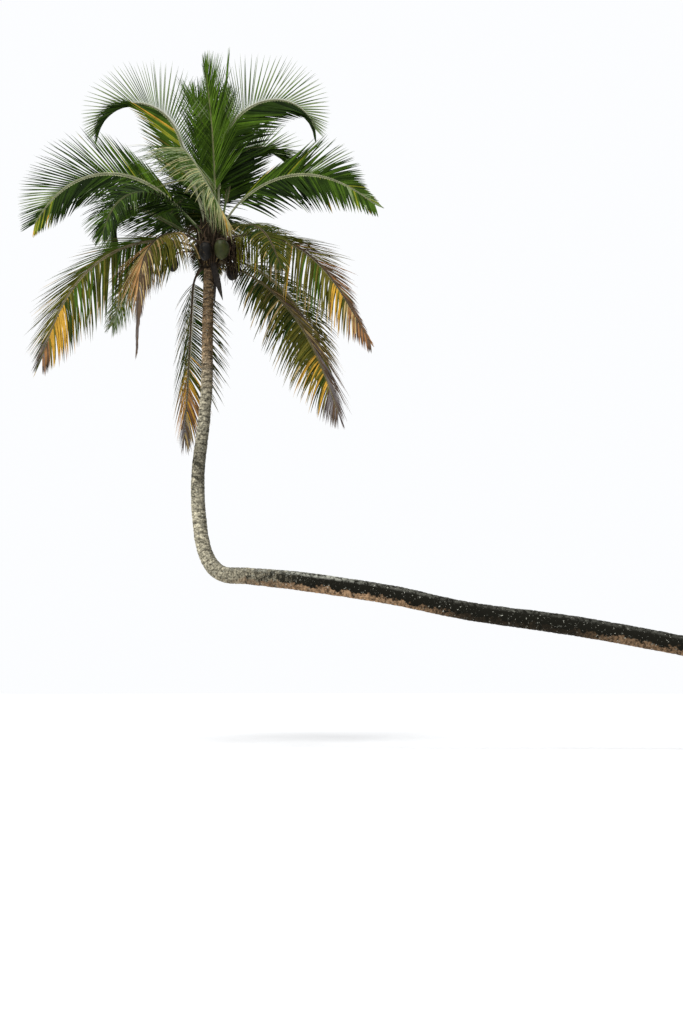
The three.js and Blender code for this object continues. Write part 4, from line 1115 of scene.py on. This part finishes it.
class PalmTrunk(bpy.types.Operator):
    """Model the trunk with its root flare, its elbow and its ring scars"""

    bl_idname = "palm.trunk"
    bl_label = "Trunk"

    def execute(self, context):
        look = settings("palm_trunk")
        stations = np.linspace(0, LAST_STATION, LAST_STATION * RINGS_PER_STRETCH + 1)
        centres, widths = trunk_line(stations)
        _, across, far, flares = trunk_axes(stations)
        lobes = np.cos(FLARE_LOBES * angles(TRUNK_SIDES))
        rings = [
            ring_points(centre, a, f, width / 2 * (1 + FLARE_DEPTH * flare * lobes), TRUNK_SIDES)
            for centre, width, a, f, flare in zip(centres, widths, across, far, flares)
        ]
        trunk = extruded("trunk", rings)
        self.cut_lengthwise(trunk, centres)
        points = np.array([vertex.co for vertex in trunk.data.vertices])
        along, around, whole = trunk_places(points)
        scars = scar_weights(along * whole, around, look.scar_gap)
        self.group_bark(trunk, points, scars)
        displaced(trunk, -look.scar_depth, "scars", middle=0)
        for size, height in ((LUMP_SIZE, look.lump_height), (GRIT_SIZE, look.grit_height)):
            displaced(trunk, height, "body", cloud_size=size, cloud_depth=BARK_CLOUD_DEPTH)
        self.store_places(trunk, along, around, scars)
        coat(trunk, "scarred_bark")
        select_only(trunk)
        bpy.ops.object.shade_smooth_by_angle(angle=math.radians(SHARP_EDGE))
        finish_piece(trunk, TRUNK_NODES)
        return {"FINISHED"}

    def cut_lengthwise(self, trunk, centres):
        """Cuts the edges that run along the trunk, so that it holds its scars."""
        select_only(trunk)
        mesh = trunk.data
        points = np.array([vertex.co for vertex in mesh.vertices])
        ring = ((points[:, None] - centres[None]) ** 2).sum(-1).argmin(1)
        bpy.ops.object.mode_set(mode="EDIT")
        bpy.ops.mesh.select_all(action="DESELECT")
        bpy.ops.mesh.select_mode(type="EDGE")
        shape = bmesh.from_edit_mesh(mesh)
        for edge in shape.edges:
            low, high = (ring[vertex.index] for vertex in edge.verts)
            edge.select = low != high
        bmesh.update_edit_mesh(mesh)
        bpy.ops.mesh.subdivide(number_cuts=TRUNK_CUTS, quadcorner="STRAIGHT_CUT")
        bpy.ops.mesh.select_mode(type="VERT")
        bpy.ops.object.mode_set(mode="OBJECT")
        if len(mesh.vertices) == len(points):
            raise RuntimeError("No edge along the trunk was cut.")

    def group_bark(self, trunk, points, scars):
        """Groups of the scars' points and of all bark, without the flat cut and the heart's seat."""
        inner = (points[:, 2] > FOOT_MARGIN) & (points[:, 2] < TRUNK[-1, 2] - TOP_MARGIN)
        group = trunk.vertex_groups.new(name="scars")
        for level in range(1, SCAR_STEPS + 1):
            chosen = np.flatnonzero((np.ceil(scars * SCAR_STEPS) == level) & inner)
            group.add(chosen.tolist(), level / SCAR_STEPS, "REPLACE")
        body = trunk.vertex_groups.new(name="body")
        body.add(np.flatnonzero(inner).tolist(), 1, "REPLACE")

    def store_places(self, trunk, along, around, scars):
        """Stores the way round and along the trunk as its UV map, and the scars as an attribute."""
        mesh = trunk.data
        corner = np.zeros(len(mesh.loops), np.int32)
        mesh.loops.foreach_get("vertex_index", corner)
        starts = np.zeros(len(mesh.polygons), np.int32)
        totals = np.zeros(len(mesh.polygons), np.int32)
        mesh.polygons.foreach_get("loop_start", starts)
        mesh.polygons.foreach_get("loop_total", totals)
        face = np.repeat(np.arange(len(starts)), totals)
        u = around[corner]
        highest = np.maximum.reduceat(u, starts)
        over_the_seam = highest[face] - u > 0.5
        places = np.stack([np.where(over_the_seam, u + 1, u), along[corner]], -1)
        layer = mesh.uv_layers[0] if mesh.uv_layers else mesh.uv_layers.new(name="bark")
        layer.data.foreach_set("uv", places.astype(np.float32).ravel())
        marks = mesh.attributes.new("scar", "FLOAT", "POINT")
        marks.data.foreach_set("value", scars.astype(np.float32))


class PalmRibs(bpy.types.Operator):
    """Model the ribs of the fronds, from their broad feet on the heart to their tips"""

    bl_idname = "palm.ribs"
    bl_label = "Ribs"

    def execute(self, context):
        for group, slot, plans, nodes in frond_groups():
            points = np.array([self.rib(plan) for plan in plans])
            finish = [RIB_FINISHES.index(plan["rib"]) for plan in plans]
            thing = strips(f"ribs_{group}", points, RIB_FINISHES, finish, SHARP_EDGE)
            finish_piece(thing, nodes)
        return {"FINISHED"}

    def rib(self, plan):
        """Points of one rib, ring by ring."""
        share = np.linspace(0, 1, RIB_RINGS) ** RIB_CROWDING
        _, across, face = frond_axes(plan, share)
        centre = point_at(rib_line(plan), share)
        foot = np.clip(1 - share / FOOT_REACH, 0, 1)
        slim = RIB_SLIM + (1 - RIB_SLIM) * foot
        half = rib_size(RIB_WIDTH, share) / 2 * slim * (1 + FOOT_BROADER * foot)
        deep = rib_size(RIB_DEPTH, share) / 2 * slim * (1 - FOOT_FLATTER * foot)
        angle = angles(RIB_SIDES)[None, :, None]
        wide = np.cos(angle) * (half[:, None, None] * across[:, None])
        tall = np.sin(angle) * (deep[:, None, None] * face[:, None])
        return centre[:, None] + wide + tall


class PalmLeaflets(bpy.types.Operator):
    """Grow the leaflets along both sides of every rib"""

    bl_idname = "palm.leaflets"
    bl_label = "Leaflets"

    def execute(self, context):
        look = settings("palm_fronds")
        for group, slot, plans, nodes in frond_groups():
            grown = []
            for plan in plans:
                chooser = np.random.default_rng(LEAFLET_SEED + FRONDS.index(plan))
                grown.append(
                    grow_leaflets(plan, look.leaflets_a_side, look.leaflet_width, look.fold, chooser))
            points = np.concatenate([p for p, _ in grown])
            finish = np.concatenate([f for _, f in grown])
            thing = self.leaflets(f"leaflets_{group}", points, finish)
            finish_piece(thing, nodes)
        return {"FINISHED"}

    def leaflets(self, name, points, finish):
        """One mesh of closed leaflets, each with four corners a ring and a single point at its tip."""
        count, rings, sides = points.shape[:3]
        closed = points[:, :-1].reshape(-1, 3)
        tips = points[:, -1, 0]
        walls, foot, _ = tube_faces(count, rings - 1, sides)
        last = (np.arange(count) * (rings - 1) + rings - 2)[:, None] * sides
        i = np.arange(sides)[None]
        tip = np.broadcast_to((len(closed) + np.arange(count))[:, None], (count, sides))
        ends = np.stack([last + i, last + (i + 1) % sides, tip], -1).reshape(-1, 3)
        wall_finish = np.repeat(finish[:, :-1].reshape(-1), sides)
        end_finish = np.repeat(finish[:, -1], sides)
        face_finish = np.concatenate([wall_finish, finish[:, 0], end_finish])
        thing = mesh_object(name, np.vstack([closed, tips]), [walls, foot, ends], LEAF_FINISHES, face_finish)
        select_only(thing)
        bpy.ops.object.shade_smooth_by_angle(angle=math.radians(LEAFLET_SHARP_EDGE))
        return thing


class PalmHeart(bpy.types.Operator):
    """Model the crown's heart with its fibre, the stumps of old leaves and the spent flower stalks"""

    bl_idname = "palm.heart"
    bl_label = "Heart"

    def execute(self, context):
        rings = []
        for radius, height in HEART_PROFILE:
            lean = HEART_LEAN * height / HEART_HEIGHT
            centre = HEART_FOOT + [lean, 0, height + HEART_CLEARANCE]
            rings.append(ring_points(centre, RIGHT, AWAY, radius, HEART_SIDES))
        heart = extruded("crown_heart_fibre", rings)
        smoothed(heart, 2)
        displaced(heart, HEART_LUMP_HEIGHT, cloud_size=HEART_LUMP_SIZE)
        coat(heart, "matted_fibre")
        finish_piece(heart, ["crown_heart"])
        chooser = np.random.default_rng(HEART_SEED)
        self.fibres(chooser)
        self.stumps(chooser)
        self.flower_stalks(chooser)
        return {"FINISHED"}

    def on_heart(self, turn, height, off):
        """Points at a height on the heart, off its surface, with the way out and the way round there."""
        profile = np.array(HEART_PROFILE)
        radius = np.interp(height, profile[:, 1], profile[:, 0]) + off
        out = np.stack([np.cos(turn), np.sin(turn), 0 * turn], -1)
        around = np.stack([-np.sin(turn), np.cos(turn), 0 * turn], -1)
        centre = HEART_FOOT + out * radius[:, None] + UP * height[:, None]
        centre[:, 0] += HEART_LEAN * height / HEART_HEIGHT
        return centre, out, around

    def fibres(self, chooser):
        """Loose fibres that lie on the heart and hang from it."""
        count = settings("palm_heart").strands
        turn = chooser.uniform(0, 2 * math.pi, count)
        top = chooser.uniform(*FIBRE_TOPS, count)
        drop = chooser.uniform(*FIBRE_DROPS, count)
        sway = chooser.normal(0, FIBRE_SWAY, count)
        loose = chooser.uniform(*FIBRE_LOOSE, count)
        half = chooser.uniform(*FIBRE_HALF_WIDTHS, count)
        rings = []
        for t in np.linspace(0, 1, FIBRE_RINGS):
            height = np.maximum(top - drop * t, FIBRE_LOWEST)
            off = FIBRE_LIFT + loose * t * (2 - t)
            centre, out, around = self.on_heart(turn + sway * t, height, off)
            wide = half[:, None] * (1 - 0.7 * t)
            rings.append(np.stack(
                [centre + around * wide, centre + out * wide * 0.6, centre - around * wide], 1))
        self.scatter("heart_fibres", rings, chooser,
                     {"matted_fibre": 0.55, "umber": 0.25, "straw": 0.04, "rib_brown": 0.16})

    def stumps(self, chooser):
        """Broad feet of leaves that were shed, which clasp the heart."""
        turn = np.arange(STUMPS) * LEAF_TURN + chooser.normal(0, 0.15, STUMPS)
        low = np.linspace(*STUMP_HEIGHTS, STUMPS)
        tall = chooser.uniform(*STUMP_LENGTHS, STUMPS)
        half = chooser.uniform(*STUMP_HALF_WIDTHS, STUMPS)
        rings = []
        for t in np.linspace(0, 1, STUMP_RINGS):
            height = np.minimum(low + tall * t, STUMP_HIGHEST)
            centre, out, around = self.on_heart(turn, height, STUMP_LIFT + STUMP_FLARE * t * t)
            wide = (half * (1 - 0.45 * t) * (1 - 0.6 * (t == 1)))[:, None]
            thick = STUMP_THICKNESS * (1 - 0.6 * t)
            rings.append(np.stack([
                centre + around * wide,
                centre + around * wide * 0.5 + out * thick,
                centre - around * wide * 0.5 + out * thick,
                centre - around * wide,
                centre - out * thick * 0.5,
            ], 1))
        self.scatter("leaf_stumps", rings, chooser,
                     {"rib_tan": 0.2, "rib_brown": 0.26, "matted_fibre": 0.5, "straw": 0.04})

    def flower_stalks(self, chooser):
        """Spent flower stalks: bundles of dark twigs that fan out and hang between the leaf feet."""
        rings = [[] for _ in range(TWIG_STRETCHES + 1)]
        for foot, way, count, length, spread, fall in FLOWER_STALKS:
            aim = unit(np.array(way, float) + chooser.normal(0, spread, (count, 3)))
            point = np.array(foot) + chooser.normal(0, TWIG_FOOT_SCATTER, (count, 3))
            reach = length * chooser.uniform(*TWIG_REACHES, count)[:, None]
            bend = fall * chooser.uniform(*TWIG_BENDS, count)[:, None]
            half = chooser.uniform(*TWIG_HALF_WIDTHS, count)[:, None]
            across = unit(np.cross(aim, TWIG_SIDE))
            for k, ring in enumerate(rings):
                t = k / TWIG_STRETCHES
                if k:
                    point = point + unit(aim - UP * bend * t) * reach / TWIG_STRETCHES
                wide = half * (1 - 0.75 * t) * (1 + TWIG_KNOTS * (k % 2))
                ring.append(np.stack([point + across * wide, point - AWAY * wide, point - across * wide], 1))
        self.scatter("flower_stalks", [np.concatenate(ring) for ring in rings], chooser,
                     {"matted_fibre": 0.5, "rib_brown": 0.26, "umber": 0.18, "rib_tan": 0.06})

    def scatter(self, name, rings, chooser, shares):
        """One mesh of many strips, whose finishes are dealt out by their shares."""
        points = np.stack(rings, 1)
        chosen = chooser.choice(len(shares), len(points), p=list(shares.values()))
        thing = strips(name, points, list(shares), chosen, SHARP_EDGE)
        finish_piece(thing, ["crown_heart"])


class PalmNuts(bpy.types.Operator):
    """Model the nuts with their stalks and caps"""

    bl_idname = "palm.nuts"
    bl_label = "Nuts"

    def execute(self, context):
        for name, start, bow, middle, width, height, finish in BUNCHES:
            parts = [self.nut(middle, width, height, finish), self.stalk(start, bow, middle, height),
                     self.cap(middle, width, height)]
            bpy.ops.object.select_all(action="DESELECT")
            for part in parts:
                part.select_set(True)
            bpy.context.view_layer.objects.active = parts[0]
            bpy.ops.object.join()
            thing = bpy.context.object
            thing.name = thing.data.name = f"{name}_husk"
            finish_piece(thing, [name])
        return {"FINISHED"}

    def nut(self, middle, width, height, finish):
        """A nut: three sided and broad at its shoulder, with a blunt point below."""
        bpy.ops.object.select_all(action="DESELECT")
        bpy.ops.mesh.primitive_uv_sphere_add(segments=36, ring_count=24, radius=0.5)
        thing = bpy.context.object
        for vertex in thing.data.vertices:
            x, y, z = vertex.co
            sided = NUT_SIDED * math.cos(3 * math.atan2(y, x)) * (1 - 4 * z * z)
            swell = 1 + sided + NUT_SHOULDER * z - NUT_NARROWING * max(0, -z) ** 2
            vertex.co = np.array(middle) + [x * width * swell, y * width * swell, z * height]
        coat(thing, finish)
        bpy.ops.object.shade_smooth()
        return thing

    def stalk(self, start, bow, middle, height):
        """The stalk, from the heart over its bow to the nut's crown."""
        start, bow = np.array(start), np.array(bow)
        crown = np.array(middle) + UP * height * STALK_SEAT
        t = np.linspace(0, 1, STALK_RINGS)[:, None]
        pull = 2 * bow - (start + crown) / 2
        line = (1 - t) ** 2 * start + 2 * t * (1 - t) * pull + t**2 * crown
        radii = STALK_RADIUS - STALK_TAPER * t[:, 0]
        rings = []
        for centre, way, radius in zip(line, unit(np.gradient(line, axis=0)), radii):
            across = unit(np.cross(STALK_SIDE, way))
            rings.append(ring_points(centre, across, np.cross(way, across), radius, STALK_SIDES))
        thing = extruded("stalk", rings)
        coat(thing, "rib_brown")
        bpy.ops.object.shade_smooth_by_angle(angle=math.radians(STALK_SHARP_EDGE))
        return thing

    def cap(self, middle, width, height):
        """The cap of dry scales where the stalk meets the nut."""
        lobes = 1 + CAP_SCALE_REACH * np.cos(CAP_SCALES * angles(CAP_SIDES))
        rings = []
        for radius, rise in CAP_PROFILE:
            radii = radius * width * (lobes if radius > CAP_PLAIN_RADIUS else 1)
            centre = np.array(middle) + UP * height * rise
            rings.append(ring_points(centre, RIGHT, AWAY, radii, CAP_SIDES))
        thing = extruded("cap", rings)
        coat(thing, "rib_brown")
        bpy.ops.object.shade_smooth()
        return thing


class PalmSheaths(bpy.types.Operator):
    """Model the old boat shaped flower sheaths that hang under the heart"""

    bl_idname = "palm.sheaths"
    bl_label = "Sheaths"

    def execute(self, context):
        for name, top, foot, width, depth in SHEATHS:
            pod = extruded(f"{name}_pod", self.rings(np.array(top), np.array(foot), width, depth))
            smoothed(pod, 1)
            displaced(pod, SHEATH_GRAIN_HEIGHT, cloud_size=SHEATH_GRAIN_SIZE)
            coat(pod, "blackened_sheath")
            finish_piece(pod, [name])
        return {"FINISHED"}

    def rings(self, top, foot, width, depth):
        """Rings of a pod that is hollow on one side and bows as it hangs."""
        way = unit(foot - top)
        across = unit(np.cross(AWAY, way))
        far = np.cross(way, across)
        angle = angles(SHEATH_SIDES)
        hollow = 1 - SHEATH_HOLLOW * (np.cos(angle) < -0.3)
        rings = []
        for t in np.linspace(0, 1, SHEATH_RINGS):
            swell = math.sin(math.pi * min(1, 0.12 + 0.88 * t) ** 0.8) * 0.92 + 0.08 * (1 - t)
            centre = top + (foot - top) * t + SHEATH_BOW * math.sin(math.pi * t) * far
            flat = np.cos(angle) * depth / 2 * swell * hollow
            wide = np.sin(angle) * width / 2 * swell
            rings.append(centre + far * flat[:, None] - across * wide[:, None])
        return rings


class PalmSpear(bpy.types.Operator):
    """Model the newest leaf, whose leaflets are still folded along its rib"""

    bl_idname = "palm.spear"
    bl_label = "Spear leaf"

    def execute(self, context):
        chooser = np.random.default_rng(SPEAR_SEED)
        blades = [self.blade(number, chooser) for number in range(SPEAR_BLADES)]
        chosen = np.append(chooser.choice(2, SPEAR_BLADES), 1)
        thing = strips("spear_leaf_folded", np.array([*blades, self.core()]), ("green", "fresh"), chosen,
                       SPEAR_SHARP_EDGE)
        finish_piece(thing, ["spear_leaf"])
        return {"FINISHED"}

    def axes(self):
        """The spear's way and length, and the ways across it."""
        way = unit(SPEAR_TIP - SPEAR_FOOT)
        across = unit(np.cross(AWAY, way))
        return way, np.linalg.norm(SPEAR_TIP - SPEAR_FOOT), across, np.cross(way, across)

    def blade(self, number, chooser):
        """Rings of one folded leaflet, which lies along the spear."""
        way, whole, across, far = self.axes()
        turn = number * LEAF_TURN
        start = whole * (SPEAR_FIRST_BLADE + SPEAR_BLADE_SPAN * number / SPEAR_BLADES)
        length = min(whole - start, whole * SPEAR_BLADE_REACH) * chooser.uniform(0.9, 1)
        out = across * math.cos(turn) + far * math.sin(turn)
        aside = np.cross(way, out)
        rings = []
        for t in np.linspace(0, 1, SPEAR_RINGS):
            slim = 1 - (start + length * t) / whole
            off = SPEAR_BLADE_OFF[0] + SPEAR_BLADE_OFF[1] * math.sin(math.pi * min(1, t + 0.15)) * slim
            centre = SPEAR_FOOT + way * (start + length * t) + out * off
            wide = SPEAR_BLADE_HALF_WIDTH * (1 - t) ** 0.6 + 0.0008
            rings.append([centre + out * 0.004, centre + aside * wide, centre - out * 0.001,
                          centre - aside * wide])
        return rings

    def core(self):
        """Rings of the spear's rib."""
        way, whole, across, far = self.axes()
        rings = []
        for t in np.linspace(0, 1, SPEAR_RINGS):
            wide = SPEAR_CORE_RADIUS * (1 - t) ** 0.8 + 0.002
            centre = SPEAR_FOOT + way * whole * t * SPEAR_CORE_REACH
            rings.append([centre + far * wide, centre - across * wide, centre - far * wide,
                          centre + across * wide])
        return rings


class PalmStage(bpy.types.Operator):
    """Set the floor, the lights and the camera"""

    bl_idname = "palm.stage"
    bl_label = "Stage"

    def execute(self, context):
        look = settings("palm_stage")
        self.floor(look)
        self.light(context, look)
        self.camera(context)
        return {"FINISHED"}

    def floor(self, look):
        """A plain, pale floor."""
        bpy.ops.object.select_all(action="DESELECT")
        bpy.ops.mesh.primitive_circle_add(
            vertices=96, radius=FLOOR_RADIUS, fill_type="NGON", location=FLOOR_PLACE)
        floor = bpy.context.object
        floor.name = "floor"
        finish = Finish("floor", roughness=0.9, specular=0.2)
        tone = finish.ramp(finish.noise(0.6, 3), [(0.3, scaled(look.floor, 0.97)), (0.7, look.floor)])
        finish.paint(tone)
        floor.data.materials.append(finish.material)

    def light(self, context, look):
        """A white surround, and one broad light from above."""
        world = bpy.data.worlds.new("surround")
        context.scene.world = world
        world.use_nodes = True
        background = world.node_tree.nodes["Background"]
        background.inputs["Color"].default_value = (*SKY, 1)
        background.inputs["Strength"].default_value = look.sky_strength
        sun = bpy.data.lights.new("key", "SUN")
        sun.energy = look.key_strength
        sun.angle = math.radians(KEY_SPREAD)
        key = bpy.data.objects.new("key", sun)
        key.rotation_euler = [math.radians(tilt) for tilt in KEY_TILT]
        context.scene.collection.objects.link(key)
        context.scene.view_settings.view_transform = "Standard"

    def camera(self, context):
        """The camera, where the photo was taken from."""
        camera = bpy.data.cameras.new("camera")
        camera.lens = CAMERA_LENS
        camera.sensor_width = CAMERA_SENSOR
        camera.clip_end = CAMERA_SIGHT
        viewer = bpy.data.objects.new("camera", camera)
        viewer.location = CAMERA_PLACE
        viewer.rotation_euler = (math.radians(CAMERA_PITCH), 0, 0)
        context.scene.collection.objects.link(viewer)
        context.scene.camera = viewer


class PalmPanel(bpy.types.Panel):
    """Lists the pieces of the palm in the order in which they are made"""

    bl_idname = "PALM_PT_pieces"
    bl_label = "Coconut Palm"
    bl_space_type = "VIEW_3D"
    bl_region_type = "UI"
    bl_category = "Palm"

    def draw(self, context):
        for piece in PIECES:
            self.layout.operator(piece.bl_idname)
        for name in SETTINGS:
            box = self.layout.box()
            group = getattr(context.scene, name)
            for key in group.__annotations__:
                box.prop(group, key)


PIECES = (PalmTrunk, PalmHeart, PalmRibs, PalmLeaflets, PalmSpear, PalmNuts, PalmSheaths, PalmStage)
SETTINGS = {
    "palm_trunk": PalmTrunkSettings, "palm_fronds": PalmFrondSettings, "palm_leaves": PalmLeafColours,
    "palm_heart": PalmHeartSettings, "palm_stage": PalmStageSettings,
}


def register():
    for kind in (*SETTINGS.values(), *PIECES, PalmPanel):
        bpy.utils.register_class(kind)
    for name, kind in SETTINGS.items():
        setattr(bpy.types.Scene, name, bpy.props.PointerProperty(type=kind))


def unregister():
    for name in SETTINGS:
        delattr(bpy.types.Scene, name)
    for kind in reversed((*SETTINGS.values(), *PIECES, PalmPanel)):
        bpy.utils.unregister_class(kind)


def main():
    register()
    bpy.ops.palm.trunk()
    bpy.ops.palm.heart()
    bpy.ops.palm.ribs()
    bpy.ops.palm.leaflets()
    bpy.ops.palm.spear()
    bpy.ops.palm.nuts()
    bpy.ops.palm.sheaths()
    bpy.ops.palm.stage()


if __name__ == "__main__":
    main()
